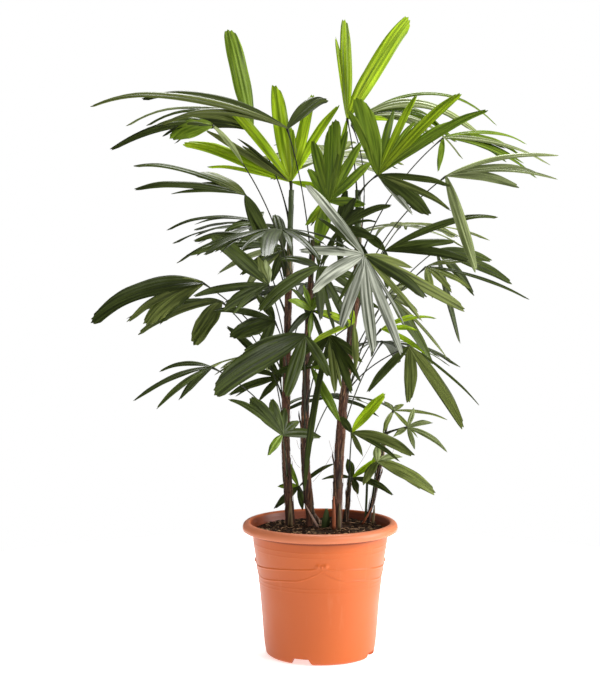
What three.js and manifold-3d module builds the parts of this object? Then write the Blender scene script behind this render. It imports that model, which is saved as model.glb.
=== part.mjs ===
// A lady palm (Rhapis excelsa) in its terracotta-coloured plastic pot, in millimetres, +Z up.
// The origin is the centre of the pot's underside. +X is to the right of someone who faces the
// plant, and +Y points away from them. Canes stand on the soil, and each fan-shaped frond is one
// solid: a stalk, and leaflets that spread from the stalk's end and are cut apart down to it.

import * as THREE from "three";
import { mergeVertices } from "three/addons/utils/BufferGeometryUtils.js";
import Module from "manifold-3d";

const wasm = await Module();
wasm.setup();
const { Manifold, Mesh: SolidMesh } = wasm;

const UP = new THREE.Vector3(0, 0, 1);
// The gap that neighbouring solids keep, and how close two corners lie to be one.
const CLEAR = 0.3;
const SAME_CORNER = 1e-4;

// ---------------------------------------------------------------- driving sizes
const POT_SIDES = 32;
const POT_WALL = 3;
const POT_FLOOR = 9.5;
const POT_INSIDE_FOOT_RADIUS = 77;
// Outlines as [radius, height]: the pad and the foot ring that it stands on, the side, and the rim
// that rolls out, up and over.
const POT_UNDERSIDE = [[0, 0], [38, 0], [40, POT_FLOOR], [73, POT_FLOOR], [75, 0], [79, 0]];
const POT_SIDE = [[83.6, 3.5], [86.6, 20], [91.3, 83], [96.6, 133], [104.3, 182]];
const POT_RIM = [
  [105.3, 200], [116.3, 200], [116.5, 193], [118.8, 193.5], [119.5, 199], [118.2, 203.5],
  [114.5, 206.4], [109.5, 207], [107.2, 205.3],
];
const NOTCHES = 4;
const NOTCH_ANGLE = -111;
const NOTCH_TOP_WIDTH = 25;
const NOTCH_FOOT_WIDTH = 36;
const NOTCH_HEIGHT = 9.6;
const NOTCH_BELOW = 1;
const NOTCH_RADII = [64, 94];

const SOIL_TOP = 193;
const SOIL_EDGE_DROP = 2;
const SOIL_EDGE_WIDTH = 5;

const CANE_SIDES = 8;
const CANE_RINGS = 5;
const FLARE = 0.4;
const FLARE_HEIGHT = 24;

const STALK_SIDES = 4;
const STALK_STEPS = 5;
const STALK_RADIUS = 2.7;
const STALK_END_RADIUS = 2.1;
const STALK_BEND_AT = 0.3;
const STALK_BEND_RISE = 0.62;
// Where a stalk has no room, its foot shifts along the cane and it bows to a side, in this order.
const STALK_SHIFTS = [0, -18, 18, -36, 36, -60, 60];
const STALK_BOWS = [0, 12, -12, 26, -26, 42, -42];
const STALK_GROWN = 0.6;
const HUB_RADIUS = 7.5;

// Stations along a leaflet: how far along, and its width and depth there.
const LONG_LEAFLET = [
  [0, 0.16, 0.8], [0.22, 0.78, 1.2], [0.5, 1, 1.1], [0.8, 0.88, 0.9], [1, 0.42, 0.6],
];
const SHORT_LEAFLET = [[0, 0.16, 0.8], [0.3, 0.9, 1.2], [0.75, 0.95, 1], [1, 0.42, 0.6]];
const SHORT_LENGTH = 158;
const LEAFLET_SIDES = 3;
const LEAFLET_THINNESS = 75;
// Where a leaflet has no room, it lifts or dips by these degrees, and then grows less far.
const LEAFLET_LIFTS = [0, 4, -4, 8, -8, 13, -13, 18, -18];
const LEAFLET_REACHES = [1, 0.85, 0.7, 0.5];
const LEAFLET_GROWN = 0.9;
const SIDE_SHORTER = 0.3;
const SIDE_NARROWER = 0.35;
const BEARING_SPREAD = 6;
const TWIST_SPREAD = 50;
const LENGTH_SPREAD = 0.2;
const WIDTH_SPREAD = 0.3;
const DROOP_SPREAD = 0.4;

const FIRST_SEED = 1000;
const SEED_STEP = 37;
const RANDOM_FACTOR = 16807;
const RANDOM_RANGE = 2147483647;

// Each cane: its top's height, its radius at the foot and at the top, and the place of its middle
// [x, y] at equal steps of height from the soil to the top.
const CANES = {
  A: [716, 6.9, 4.2, [[-46, 25], [-53, 22], [-51, 18], [-48, 14], [-44, 10]]],
  B: [640, 7.2, 3.8, [[-13, 20], [-23, 16], [-22, 14], [-17, 16], [-11, 20]]],
  C: [716, 8.0, 4.4, [[25, 0], [30, 0], [42, -5], [56, -5], [57, 0]]],
  D: [264, 3.5, 2.6, [[40, 52], [44, 47], [46, 42]]],
  E: [341, 3.6, 2.4, [[73, 45], [85, 40], [94, 35], [101, 30]]],
};
const STUB = [232, 3.4, 2.6, [[4, 34], [-10, 34], [-24, 34]]];

// Each frond: its cane, the height its stalk leaves the cane, the stalk's end [x, y, z], the way
// from there to the tip of a leaflet of bearing 0 before it droops [x, y, z], its leaflets, the
// roll of their fan, the widest leaflet, the droop, and the age of the leaf. A leaflet is given as
// [bearing in degrees, share of the length, share of the width], or as a bearing alone, and then
// its sizes come from its place in the fan and from the seed.
const fan = (count, angle) => (
  Array.from({ length: count }, (_, i) => (i / (count - 1) - 0.5) * angle)
);
const FRONDS = {
  frond_01: [
    "B", 600, [-50, -80, 807], [-290, -30, 140],
    [[2, 1, 0.8], [-3, 0.62, 0.8], [6, 0.77, 0.75], [101, 0.37, 1.15]], 60, 17, 0.75, "mature",
  ],
  frond_02: [
    "A", 660, [-105, 40, 806], [-170, -10, 100],
    [[50, 0.93, 0.95], [-16, 1.14, 0.5], [-8, 0.86, 0.5], [1, 0.57, 0.55]], 75, 29, 0.8, "young",
  ],
  frond_03: [
    "A", 590, [-163, -10, 813], [-88, -20, 25],
    [[-16, 0.72, 1], [3, 1, 0.55]], 65, 29, 0.7, "mature",
  ],
  frond_04: [
    "A", 706, [-45, 22, 728], [-120, 20, 140],
    [[-22, 1.02, 1], [3, 0.97, 0.8], [32, 0.84, 1.2], [41, 0.46, 0.9], [53, 0.79, 0.9],
      [70, 0.8, 0.7], [137, 0.43, 0.55]],
    80, 20, 0.2, "young",
  ],
  frond_05: [
    "A", 570, [-114, -10, 708], [-170, -15, 80],
    [[6, 1.03, 0.55], [-8, 0.95, 0.6], [-12, 0.63, 0.35], [-3, 0.5, 1], [-138, 0.37, 1]],
    45, 20, 0.55, "mature",
  ],
  frond_06: [
    "A", 540, [-95, 60, 664], [-140, 40, 35],
    [[0, 1.04, 0.5], [4, 0.74, 0.5], [-14, 0.36, 1], [75, 0.4, 0.5]], 30, 18, 0.6, "mature",
  ],
  frond_07: [
    "A", 500, [-56, 40, 625], [-150, -10, 30],
    [[5, 1, 0.6], [-7, 1.05, 0.6], [2, 0.62, 0.7], [-77, 0.35, 0.7], [75, 0.6, 0.9],
      [-34, 0.5, 0.8], [-110, 0.4, 0.8]],
    50, 20, 0.6, "mature",
  ],
  frond_08: [
    "A", 455, [-79, -60, 576], [-120, -40, 60],
    [[24, 0.87, 1.15], [51, 0.35, 0.6], [68, 0.3, 0.6], [-22, 0.87, 0.5], [-41, 0.57, 0.8]],
    70, 24, 0.35, "mature",
  ],
  frond_09: [
    "A", 420, [-176, -60, 578], [-165, -30, 15],
    [[-1, 1, 1], [5, 0.8, 0.7], [-14, 0.7, 0.4], [-26, 0.58, 1]], 50, 33, 0.7, "mature",
  ],
  frond_10: [
    "A", 380, [-152, 40, 543], [-135, 40, 0],
    [[-6, 0.96, 0.55], [10, 1.19, 0.3], [2, 0.7, 0.6], [-61, 0.5, 1]], 45, 31, 0.6, "mature",
  ],
  frond_11: [
    "A", 400, [-70, -20, 518], [-80, -28, 5],
    [[-8, 0.85, 1.1], [20, 1.25, 0.45], [-60, 0.8, 0.6], [70, 0.7, 0.6], [150, 0.5, 0.7]],
    60, 28, 0.5, "mature",
  ],
  frond_12: [
    "A", 330, [-163, -50, 450], [-118, -25, 0],
    [[-4, 1, 0.85], [-22, 0.8, 0.75], [-34, 0.55, 0.85], [25, 0.7, 0.7]], 40, 13, 0.7, "mature",
  ],
  frond_13: [
    "A", 300, [-62, 46, 424], [-100, 35, 60],
    [[-38, 0.66, 0.95], [19, 1.18, 1], [24, 0.6, 0.85], [65, 0.5, 0.9], [-75, 0.35, 0.9]],
    60, 13, 0.5, "mature",
  ],
  frond_14: [
    "A", 262, [-58, -45, 347], [-85, -30, 55],
    [[14, 1.08, 0.5], [26, 0.8, 1.1], [50, 0.6, 0.9], [-70, 0.35, 0.6], [75, 0.5, 0.6],
      [108, 0.45, 0.6], [140, 0.7, 0.8]],
    65, 21, 0.45, "mature",
  ],
  frond_15: [
    "B", 430, [-3, -30, 600], [-88, -60, -34],
    [[0, 1, 1.1], [50, 0.6, 0.8], [-60, 0.7, 0.9], [-90, 0.8, 0.8], [-130, 0.8, 0.8]],
    60, 18, 0.5, "mature",
  ],
  frond_16: [
    "C", 430, [60, -190, 626], [12, -75, -150],
    [[150, 0.87, 0.85], [102, 0.56, 0.8], [64, 0.52, 1.1], [23, 0.64, 0.95], [-1, 0.83, 0.95],
      [-17, 0.87, 0.85], [-65, 0.93, 1], [-81, 0.42, 0.7]],
    0, 18.5, 0.25, "silvery",
  ],
  frond_17: [
    "C", 470, [99, 6, 623], [150, 0, 60],
    [[-12, 0.68, 1], [-6, 1.2, 0.47], [5, 0.69, 0.6], [19, 0.8, 0.55], [-112, 0.32, 0.55],
      [109, 0.34, 0.55]],
    -70, 26, 0.35, "mature",
  ],
  frond_18: [
    "C", 440, [182, 80, 621], [115, 20, -50],
    [[-10, 1.02, 1], [22, 0.66, 0.9], [57, 1.13, 0.7], [-22, 0.74, 0.9]], -70, 16, 0.3, "mature",
  ],
  frond_19: [
    "C", 410, [160, -20, 600], [155, -15, -10],
    [[3, 1, 0.5], [14, 0.45, 0.9], [75, 0.35, 0.9], [-30, 0.6, 0.8], [40, 0.35, 0.8]],
    -40, 14, 0.42, "mature",
  ],
  frond_20: [
    "C", 550, [186, -60, 737], [168, -20, 55],
    [[-6, 1.02, 0.6], [0, 0.78, 0.8], [6, 0.95, 0.6], [13, 0.62, 1], [86, 0.82, 1.15]],
    -60, 15, 0.5, "mature",
  ],
  frond_21: [
    "C", 600, [190, 60, 795], [168, 20, 20],
    [[1, 1, 0.8], [-4, 0.73, 1], [8, 0.58, 0.9], [12, 0.85, 0.6], [-14, 0.85, 0.6],
      [110, 0.3, 0.7]],
    -50, 14, 0.7, "mature",
  ],
  frond_22: [
    "C", 690, [42, 70, 825], [124, 20, 138],
    [[-43, 0.85, 0.7], [-12, 1.05, 1], [-18, 0.57, 0.53], [44, 0.37, 0.3]],
    -80, 26.5, 0.15, "young",
  ],
  frond_23: [
    "C", 704, [86, -40, 739], [150, -20, 110],
    [[-69, 0.72, 1], [-32, 0.77, 0.4], [-24, 0.58, 0.3], [-14, 1, 0.6], [-2, 1.1, 0.45],
      [52, 0.63, 0.35], [67, 0.5, 0.75], [78, 0.4, 0.35]],
    -75, 30, 0.3, "young",
  ],
  frond_24: [
    "B", 560, [13, -30, 699], [60, -10, 120],
    [[-60, 0.52, 0.6], [-27, 0.95, 1.15], [-1, 0.83, 0.47], [17, 0.72, 0.5], [60, 0.45, 0.5],
      [-156, 0.36, 0.55]],
    -70, 30, 0.3, "mature",
  ],
  frond_25: [
    "B", 500, [26, -50, 655], [60, -40, 60],
    [[-30, 0.7, 0.8], [-9, 0.7, 0.8], [6, 1.25, 0.6], [32, 0.8, 0.9], [110, 0.6, 0.8],
      [160, 0.6, 0.8]],
    -70, 19, 0.5, "mature",
  ],
  frond_26: [
    "C", 400, [132, -90, 486], [80, -40, -90],
    [[1, 1, 1], [-19, 0.95, 0.2], [41, 0.63, 1.1], [94, 0.64, 0.7]], -75, 19, 0.5, "mature",
  ],
  frond_27: [
    "C", 380, [92, -26, 506], [65, -10, 25],
    [[-4, 1.3, 0.55], [40, 1.1, 0.7], [-14, 0.85, 0.6], [8, 0.8, 0.9]], -60, 11, 0.4, "young",
  ],
  frond_28: [
    "C", 350, [104, 44, 553], [85, 20, -70],
    [[13, 1, 1], [-1, 1.1, 0.25], [-29, 0.5, 0.45], [-70, 0.5, 0.5]], -65, 25, 0.5, "mature",
  ],
  frond_29: [
    "B", 440, [50, -45, 516], [-75, -60, -10],
    [[0, 1, 0.75], [40, 0.7, 1], [-60, 0.8, 0.9], [110, 0.35, 0.8]], 55, 12, 0.3, "young",
  ],
  frond_30: [
    "D", 256, [48, -20, 347], [85, -15, 40],
    [[-35, 0.95, 1.1], [30, 1.08, 1], [80, 0.4, 0.5], [-100, 0.38, 0.7]], -60, 17, 0.5, "mature",
  ],
  frond_31: [
    "E", 325, [115, 60, 370], [85, 20, 10],
    [[3, 1, 0.8], [-40, 0.35, 1], [-100, 0.35, 1], [60, 0.6, 0.8], [130, 0.5, 0.8]],
    -40, 10, 0.5, "mature",
  ],
  frond_32: [
    "E", 337, [135, 16, 350], [65, -10, 10],
    [[-20, 0.65, 0.9], [25, 1, 0.9], [165, 0.35, 1], [75, 0.5, 0.8], [-70, 0.6, 0.8]],
    -60, 10, 0.5, "mature",
  ],
  frond_33: [
    "E", 235, [88, 5, 298], [88, -15, -10],
    [[5, 1.03, 1], [-6, 0.48, 0.7], [120, 0.4, 0.7], [-40, 0.5, 0.5], [-100, 0.4, 0.6]],
    -60, 21, 0.6, "mature",
  ],
  frond_34: [
    "D", 262, [51, 46, 266], [65, -10, 20],
    [[-88, 0.6, 1], [26, 1.08, 0.75], [-150, 0.77, 0.5], [80, 0.35, 0.8], [-30, 0.95, 0.85]],
    -60, 14, 0.5, "mature",
  ],
  frond_35: [
    "B", 225, [-33, 60, 250], [-45, 20, 30],
    [[30, 1.3, 0.8], [-22, 0.6, 0.8], [-72, 0.8, 1], [100, 1.3, 0.5], [-140, 0.6, 0.8]],
    60, 13, 0.4, "mature",
  ],
  frond_36: [
    "B", 360, [14, -60, 500], [-8, -45, -190],
    [[8, 1.12, 0.65], [-8, 0.44, 0.8], [-25, 0.45, 0.9], [-58, 0.3, 0.75], [40, 0.4, 0.7]],
    0, 16, 0.3, "mature",
  ],
  frond_37: [
    "B", 330, [-24, -120, 505], [-140, -60, -35],
    [[-6, 1, 1], [-51, 0.58, 0.56], [-106, 0.41, 0.44], [9, 0.62, 0.48]], 70, 36, 0.3, "mature",
  ],
  frond_38: ["C", 640, [15, 150, 765], [-25, 150, 60], fan(6, 220), 0, 26, 0.4, "mature"],
  frond_39: ["A", 520, [-95, 150, 655], [-75, 140, 30], fan(6, 200), 0, 25, 0.5, "mature"],
  frond_40: ["C", 500, [130, 170, 655], [45, 150, 25], fan(6, 190), 0, 22, 0.5, "mature"],
  frond_41: ["B", 400, [-20, 180, 560], [-15, 160, 10], fan(6, 210), 0, 26, 0.6, "mature"],
  frond_42: ["A", 330, [-80, 135, 450], [-40, 120, 5], fan(6, 190), 0, 22, 0.6, "mature"],
  frond_43: ["C", 320, [100, 140, 470], [80, 125, 5], fan(6, 190), 0, 21, 0.6, "mature"],
  frond_44: ["B", 290, [20, 140, 380], [15, 120, 20], fan(5, 200), 0, 20, 0.6, "mature"],
  frond_45: ["B", 520, [-60, -150, 660], [-70, -140, 10], fan(6, 180), 0, 24, 0.6, "mature"],
  frond_46: [
    "C", 640, [50, 105, 816], [200, -40, 125],
    [[0, 1, 1], [-10, 1.2, 0.4], [-7, 0.76, 0.65], [10, 0.85, 0.6]], -45, 20, 1.5, "mature",
  ],
  frond_47: [
    "B", 445, [-13, -50, 535], [-40, -20, 35],
    [[0, 0.9, 1], [40, 0.8, 0.9], [80, 0.55, 1], [-110, 0.7, 0.8]], 70, 12, 0.5, "mature",
  ],
  frond_48: [
    "B", 320, [-14, -48, 450], [42, -15, -72],
    [[0, 1, 1], [-60, 0.6, 0.7], [75, 0.7, 0.7]], -75, 14, 0.3, "mature",
  ],
};

// ---------------------------------------------------------------- solids
function solidOf(geometry) {
  const bare = geometry.clone();
  bare.deleteAttribute("normal");
  bare.deleteAttribute("uv");
  const merged = mergeVertices(bare, SAME_CORNER);
  return new Manifold(new SolidMesh({
    numProp: 3,
    vertProperties: Float32Array.from(merged.attributes.position.array),
    triVerts: Uint32Array.from(merged.index.array),
  }));
}

function geometryOf(solid) {
  const mesh = solid.getMesh();
  const geometry = new THREE.BufferGeometry();
  geometry.setAttribute("position", new THREE.BufferAttribute(mesh.vertProperties, 3));
  geometry.setIndex(new THREE.BufferAttribute(mesh.triVerts, 1));
  geometry.computeVertexNormals();
  return geometry;
}

const joined = (solids) => solids.reduce((whole, solid) => whole.add(solid));

// A limb: a cylinder whose rings are moved to stations along a line. Each station gives its middle,
// its two directions across, and its half-size along each of them.
function limb(sides, stations, turn = 0) {
  const steps = stations.length - 1;
  const geometry = new THREE.CylinderGeometry(1, 1, 1, sides, steps, false, turn);
  const position = geometry.attributes.position;
  const point = new THREE.Vector3();
  for (let i = 0; i < position.count; i += 1) {
    const ring = Math.round((position.getY(i) + 0.5) * steps);
    const { at, across, deep, wide, thick } = stations[ring];
    point.copy(at);
    point.addScaledVector(across, wide * position.getX(i));
    point.addScaledVector(deep, thick * position.getZ(i));
    position.setXYZ(i, point.x, point.y, point.z);
  }
  return solidOf(geometry);
}

// ---------------------------------------------------------------- seeded variation
function randomFrom(seed) {
  let state = seed;
  return () => {
    state = (state * RANDOM_FACTOR) % RANDOM_RANGE;
    return state / RANDOM_RANGE;
  };
}

// ---------------------------------------------------------------- pot and soil
function lathe(outline) {
  const points = outline.map(([radius, height]) => new THREE.Vector2(radius, height));
  return new THREE.LatheGeometry(points, POT_SIDES).rotateX(Math.PI / 2);
}

const insideWall = () => POT_SIDE.slice(1).map(([radius, height]) => [radius - POT_WALL, height]);

function potOutline() {
  const floorTop = POT_FLOOR + POT_WALL;
  return [
    ...POT_UNDERSIDE, ...POT_SIDE, ...POT_RIM, ...insideWall().reverse(),
    [POT_INSIDE_FOOT_RADIUS, floorTop], [0, floorTop],
  ];
}

// A drain notch through the foot ring, wider at the ground than above.
function notch(angle) {
  const [inner, outer] = NOTCH_RADII;
  const shape = new THREE.Shape([
    new THREE.Vector2(-NOTCH_FOOT_WIDTH / 2, -NOTCH_BELOW),
    new THREE.Vector2(NOTCH_FOOT_WIDTH / 2, -NOTCH_BELOW),
    new THREE.Vector2(NOTCH_TOP_WIDTH / 2, NOTCH_HEIGHT),
    new THREE.Vector2(-NOTCH_TOP_WIDTH / 2, NOTCH_HEIGHT),
  ]);
  const geometry = new THREE.ExtrudeGeometry(shape, { depth: outer - inner, bevelEnabled: false });
  geometry.rotateX(Math.PI / 2).translate(0, outer, 0);
  geometry.rotateZ(THREE.MathUtils.degToRad(angle) - Math.PI / 2);
  return solidOf(geometry);
}

function potSolid() {
  let pot = solidOf(lathe(potOutline()));
  for (let i = 0; i < NOTCHES; i += 1) {
    pot = pot.subtract(notch(NOTCH_ANGLE + (i * 360) / NOTCHES));
  }
  return pot;
}

function soilSolid() {
  const bottom = POT_FLOOR + POT_WALL + CLEAR;
  const wall = insideWall().slice(0, -1).map(([radius, height]) => [radius - CLEAR, height]);
  const [radius, height] = insideWall().at(-1);
  return solidOf(lathe([
    [0, bottom], [POT_INSIDE_FOOT_RADIUS - CLEAR, bottom], ...wall,
    [radius - CLEAR, height], [radius - CLEAR, SOIL_TOP - SOIL_EDGE_DROP],
    [radius - SOIL_EDGE_WIDTH, SOIL_TOP], [0, SOIL_TOP],
  ]));
}

// ---------------------------------------------------------------- canes
function caneMiddle([top, , , places], height) {
  const foot = SOIL_TOP + CLEAR;
  const step = (top - foot) / (places.length - 1);
  const curve = new THREE.CatmullRomCurve3(
    places.map(([x, y], i) => new THREE.Vector3(x, y, foot + i * step)), false, "catmullrom");
  const middle = curve.getPoint(THREE.MathUtils.clamp((height - foot) / (top - foot), 0, 1));
  return middle.setZ(height);
}

function caneRadius([top, footRadius, topRadius], height) {
  const foot = SOIL_TOP + CLEAR;
  const along = (height - foot) / (top - foot);
  const flare = FLARE * Math.max(0, 1 - (height - foot) / FLARE_HEIGHT) ** 2;
  return THREE.MathUtils.lerp(footRadius, topRadius, along) * (1 + flare);
}

function caneSolid(cane, grown = 0) {
  const [top] = cane;
  const foot = SOIL_TOP + CLEAR;
  const across = new THREE.Vector3(0, 1, 0);
  const deep = new THREE.Vector3(1, 0, 0);
  const heights = [foot - grown, foot + FLARE_HEIGHT / 2];
  for (let i = 0; i <= CANE_RINGS; i += 1) {
    heights.push(THREE.MathUtils.lerp(foot + FLARE_HEIGHT, top + grown, i / CANE_RINGS));
  }
  return limb(CANE_SIDES, heights.map((height) => {
    const radius = caneRadius(cane, Math.max(foot, height)) + grown;
    return { at: caneMiddle(cane, height), across, deep, wide: radius, thick: radius };
  }));
}

// ---------------------------------------------------------------- fronds
// The stalk leaves the middle of its cane, rises and leans out to the hub that its leaflets share.
function stalk(cane, height, hub, bow, grown = 0) {
  const start = caneMiddle(CANES[cane], height);
  const level = new THREE.Vector3(hub.x - start.x, hub.y - start.y, 0);
  const across = new THREE.Vector3().crossVectors(level, UP).normalize();
  const middle = start.clone().addScaledVector(level, STALK_BEND_AT).addScaledVector(across, bow);
  middle.z += STALK_BEND_RISE * (hub.z - start.z);
  const curve = new THREE.QuadraticBezierCurve3(start, middle, hub);
  const stations = [];
  for (let i = 0; i <= STALK_STEPS; i += 1) {
    const t = i / STALK_STEPS;
    const radius = THREE.MathUtils.lerp(STALK_RADIUS, STALK_END_RADIUS, t) + grown;
    const deep = new THREE.Vector3().crossVectors(across, curve.getTangent(t)).normalize();
    stations.push({ at: curve.getPoint(t), across, deep, wide: radius, thick: radius });
  }
  return limb(STALK_SIDES, stations, Math.PI / STALK_SIDES);
}

function hubSolid(hub, grown = 0) {
  const geometry = new THREE.OctahedronGeometry(HUB_RADIUS + grown);
  geometry.translate(hub.x, hub.y, hub.z);
  return solidOf(geometry);
}

// The leaflets of one frond: where each points, how long and wide it is, and how it twists.
function leafletPlans([, , , reach, leaflets, roll, width, droop], seed) {
  const random = randomFrom(seed);
  random();
  const middle = new THREE.Vector3(...reach);
  const length = middle.length();
  middle.normalize();
  const level = new THREE.Vector3().crossVectors(middle, UP).normalize();
  const above = new THREE.Vector3().crossVectors(level, middle);
  const turned = THREE.MathUtils.degToRad(roll);
  const side = level.clone().multiplyScalar(Math.cos(turned)).addScaledVector(above, Math.sin(turned));
  const normal = new THREE.Vector3().crossVectors(side, middle);
  const outermost = Math.max(...leaflets.map((entry) => Math.abs([entry].flat()[0])));
  return leaflets.map((entry) => {
    const [degrees, share, wide] = [entry].flat();
    const place = degrees / outermost;
    const vary = (spread) => (share ? 0 : spread) * (random() - 0.5);
    const bearing = THREE.MathUtils.degToRad(degrees + vary(BEARING_SPREAD));
    const direction = middle.clone().multiplyScalar(Math.cos(bearing));
    direction.addScaledVector(side, Math.sin(bearing));
    return {
      direction,
      normal,
      length: length * (share ?? 1 - SIDE_SHORTER * place * place) * (1 + vary(LENGTH_SPREAD)),
      width: width * (wide ?? 1 - SIDE_NARROWER * Math.abs(place)) * (1 + vary(WIDTH_SPREAD)),
      twist: THREE.MathUtils.degToRad(TWIST_SPREAD * (random() - 0.5)),
      droop: droop * (1 + vary(DROOP_SPREAD)),
    };
  });
}

// A leaflet leaves the hub as a blade with a keel below, and its own weight bends it down.
function leaflet(hub, plan, lift, part, grown = 0) {
  const raised = THREE.MathUtils.degToRad(lift);
  const direction = plan.direction.clone().multiplyScalar(Math.cos(raised));
  direction.addScaledVector(plan.normal, Math.sin(raised));
  const across = new THREE.Vector3().crossVectors(direction, plan.normal).normalize();
  const length = plan.length * part;
  const fall = plan.droop * Math.hypot(direction.x, direction.y);
  const thickness = plan.length / LEAFLET_THINNESS + grown;
  const outline = length < SHORT_LENGTH ? SHORT_LEAFLET : LONG_LEAFLET;
  const stations = outline.map(([t, width, depth]) => {
    const at = hub.clone().addScaledVector(direction, length * t);
    at.z -= (length * fall * t * t) / 2;
    const along = direction.clone().addScaledVector(UP, -fall * t).normalize();
    const wide = across.clone().applyAxisAngle(along, plan.twist * t);
    const deep = new THREE.Vector3().crossVectors(wide, along).normalize();
    const half = (plan.width * width) / Math.sqrt(3) + grown;
    return { at, across: wide, deep, wide: half, thick: thickness * depth };
  });
  return limb(LEAFLET_SIDES, stations, Math.PI);
}

// ---------------------------------------------------------------- keeping pieces apart
const apart = (a, b) => {
  const p = a.boundingBox();
  const q = b.boundingBox();
  return [0, 1, 2].some((k) => p.max[k] < q.min[k] || q.max[k] < p.min[k]);
};
const meets = (a, b) => !apart(a, b) && !a.intersect(b).isEmpty();
const free = (solid, others) => !others.some((other) => meets(solid, other));
const pairs = (outer, inner) => outer.flatMap((a) => inner.map((b) => [a, b]));
const largest = (solid) => solid.decompose().sort((a, b) => b.volume() - a.volume())[0];

// Stalks take their places first, cut clear of their own canes, and then the leaflets take what
// room is left. A leaflet that finds none is not grown.
function growFronds(grownCanes, fixed) {
  const names = Object.keys(FRONDS);
  const stalks = {};
  for (const name of names) {
    const [cane, height, place] = FRONDS[name];
    const hub = new THREE.Vector3(...place);
    const strangers = Object.keys(CANES).filter((other) => other !== cane);
    const others = [
      ...strangers.map((other) => grownCanes[other]), ...Object.values(stalks), ...fixed,
    ];
    const build = (shift, bow, grown) => (
      stalk(cane, height + shift, hub, bow, grown).add(hubSolid(hub, grown)).subtract(grownCanes[cane])
    );
    const choice = pairs(STALK_SHIFTS, STALK_BOWS)
      .find(([shift, bow]) => free(build(shift, bow, STALK_GROWN), others));
    if (!choice) throw new Error(`no room for the stalk of ${name}`);
    stalks[name] = largest(build(...choice, 0));
  }
  const solids = { ...stalks };
  names.forEach((name, index) => {
    const hub = new THREE.Vector3(...FRONDS[name][2]);
    const others = [
      ...Object.values(grownCanes), ...fixed,
      ...names.filter((other) => other !== name).map((other) => solids[other]),
    ];
    const kept = [];
    for (const plan of leafletPlans(FRONDS[name], FIRST_SEED + SEED_STEP * index)) {
      const choice = pairs(LEAFLET_REACHES, LEAFLET_LIFTS)
        .find(([part, lift]) => free(leaflet(hub, plan, lift, part, LEAFLET_GROWN), others));
      if (choice) kept.push(leaflet(hub, plan, choice[1], choice[0]));
    }
    solids[name] = joined([solids[name], ...kept]);
  });
  return solids;
}

// ---------------------------------------------------------------- the plant
const finish = (color, roughness) => new THREE.MeshStandardMaterial({ color, roughness, metalness: 0 });
const TERRACOTTA = finish(0xcd6a3e, 0.5);
const SOIL = finish(0x2a1f18, 0.95);
const CANE = finish(0x5a3a26, 0.85);
const STRAW = finish(0x8a7358, 0.85);
const LEAF = {
  mature: finish(0x3f5c2a, 0.45),
  young: finish(0x8fb52a, 0.4),
  silvery: finish(0x8d9c86, 0.4),
};

const group = new THREE.Group();
function add(name, geometry, material) {
  const mesh = new THREE.Mesh(geometry, material);
  mesh.name = name;
  group.add(mesh);
}

const pot = potSolid();
const soil = soilSolid();
const grownCanes = {};
for (const [name, cane] of Object.entries(CANES)) {
  grownCanes[name] = caneSolid(cane, CLEAR);
}
const stub = caneSolid(STUB);

add("pot", geometryOf(pot), TERRACOTTA);
add("soil", geometryOf(soil), SOIL);
for (const [name, cane] of Object.entries(CANES)) {
  add(`cane_${name.toLowerCase()}`, geometryOf(caneSolid(cane)), CANE);
}
add("dead_stub", geometryOf(stub), STRAW);
const fronds = growFronds(grownCanes, [pot, soil, caneSolid(STUB, CLEAR)]);
for (const [name, solid] of Object.entries(fronds)) {
  add(name, geometryOf(solid), LEAF[FRONDS[name].at(-1)]);
}

export default group;
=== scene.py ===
# %% [markdown]
# # A lady palm in its pot
# A clump of slender canes stands in a moulded plastic pot. Each cane wears the brown fibre of its
# old leaf bases, and long thin stalks carry fans of pleated leaflets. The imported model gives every
# size and place, and this lesson dresses it: each cell makes one piece or one finish.

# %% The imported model
import math
import random

import bmesh
import bpy
import numpy as np
from mathutils import Matrix, Vector, noise
from mathutils.kdtree import KDTree


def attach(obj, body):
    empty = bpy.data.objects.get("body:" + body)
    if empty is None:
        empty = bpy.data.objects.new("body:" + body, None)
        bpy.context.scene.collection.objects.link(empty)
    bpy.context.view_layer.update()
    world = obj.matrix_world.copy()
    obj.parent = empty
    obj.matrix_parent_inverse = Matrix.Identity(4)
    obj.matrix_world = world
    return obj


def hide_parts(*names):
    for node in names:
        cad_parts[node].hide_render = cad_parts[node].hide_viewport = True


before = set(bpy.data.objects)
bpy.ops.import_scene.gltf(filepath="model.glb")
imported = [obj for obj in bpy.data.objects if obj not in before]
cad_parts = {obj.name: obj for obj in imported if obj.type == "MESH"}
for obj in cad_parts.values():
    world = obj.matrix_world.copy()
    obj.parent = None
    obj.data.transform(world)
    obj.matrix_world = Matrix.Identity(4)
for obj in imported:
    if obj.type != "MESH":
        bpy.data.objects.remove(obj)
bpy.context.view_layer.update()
MM = 0.001
print("nodes:", len(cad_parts))

# %% [markdown]
# ## Camera and stage
# The plant is seen from the front, from a little above its middle, through a long lens, so that
# near and far leaves keep nearly the same scale. A wide pale floor and an even white sky make a
# plain studio.

# %% Camera
CAMERA_PLACE = Vector((-0.031, -3.0, 0.760))
CAMERA_PITCH = math.radians(5.24)
CAMERA_LENS = 103.84

scene = bpy.context.scene
camera = bpy.data.objects.new("camera", bpy.data.cameras.new("camera"))
camera.data.lens = CAMERA_LENS
camera.location = CAMERA_PLACE
camera.rotation_euler = (math.pi / 2 - CAMERA_PITCH, 0, 0)
scene.collection.objects.link(camera)
scene.camera = camera

# %% [markdown]
# ## Finishes written as arithmetic
# A finish is easier to read as a sum than as a drawing of boxes and wires. A `Wire` is the output
# of a node, and adding or multiplying wires adds the Math nodes. Every other kind of node comes
# from one method, which sets the node's choices first and then feeds its sockets.

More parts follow.
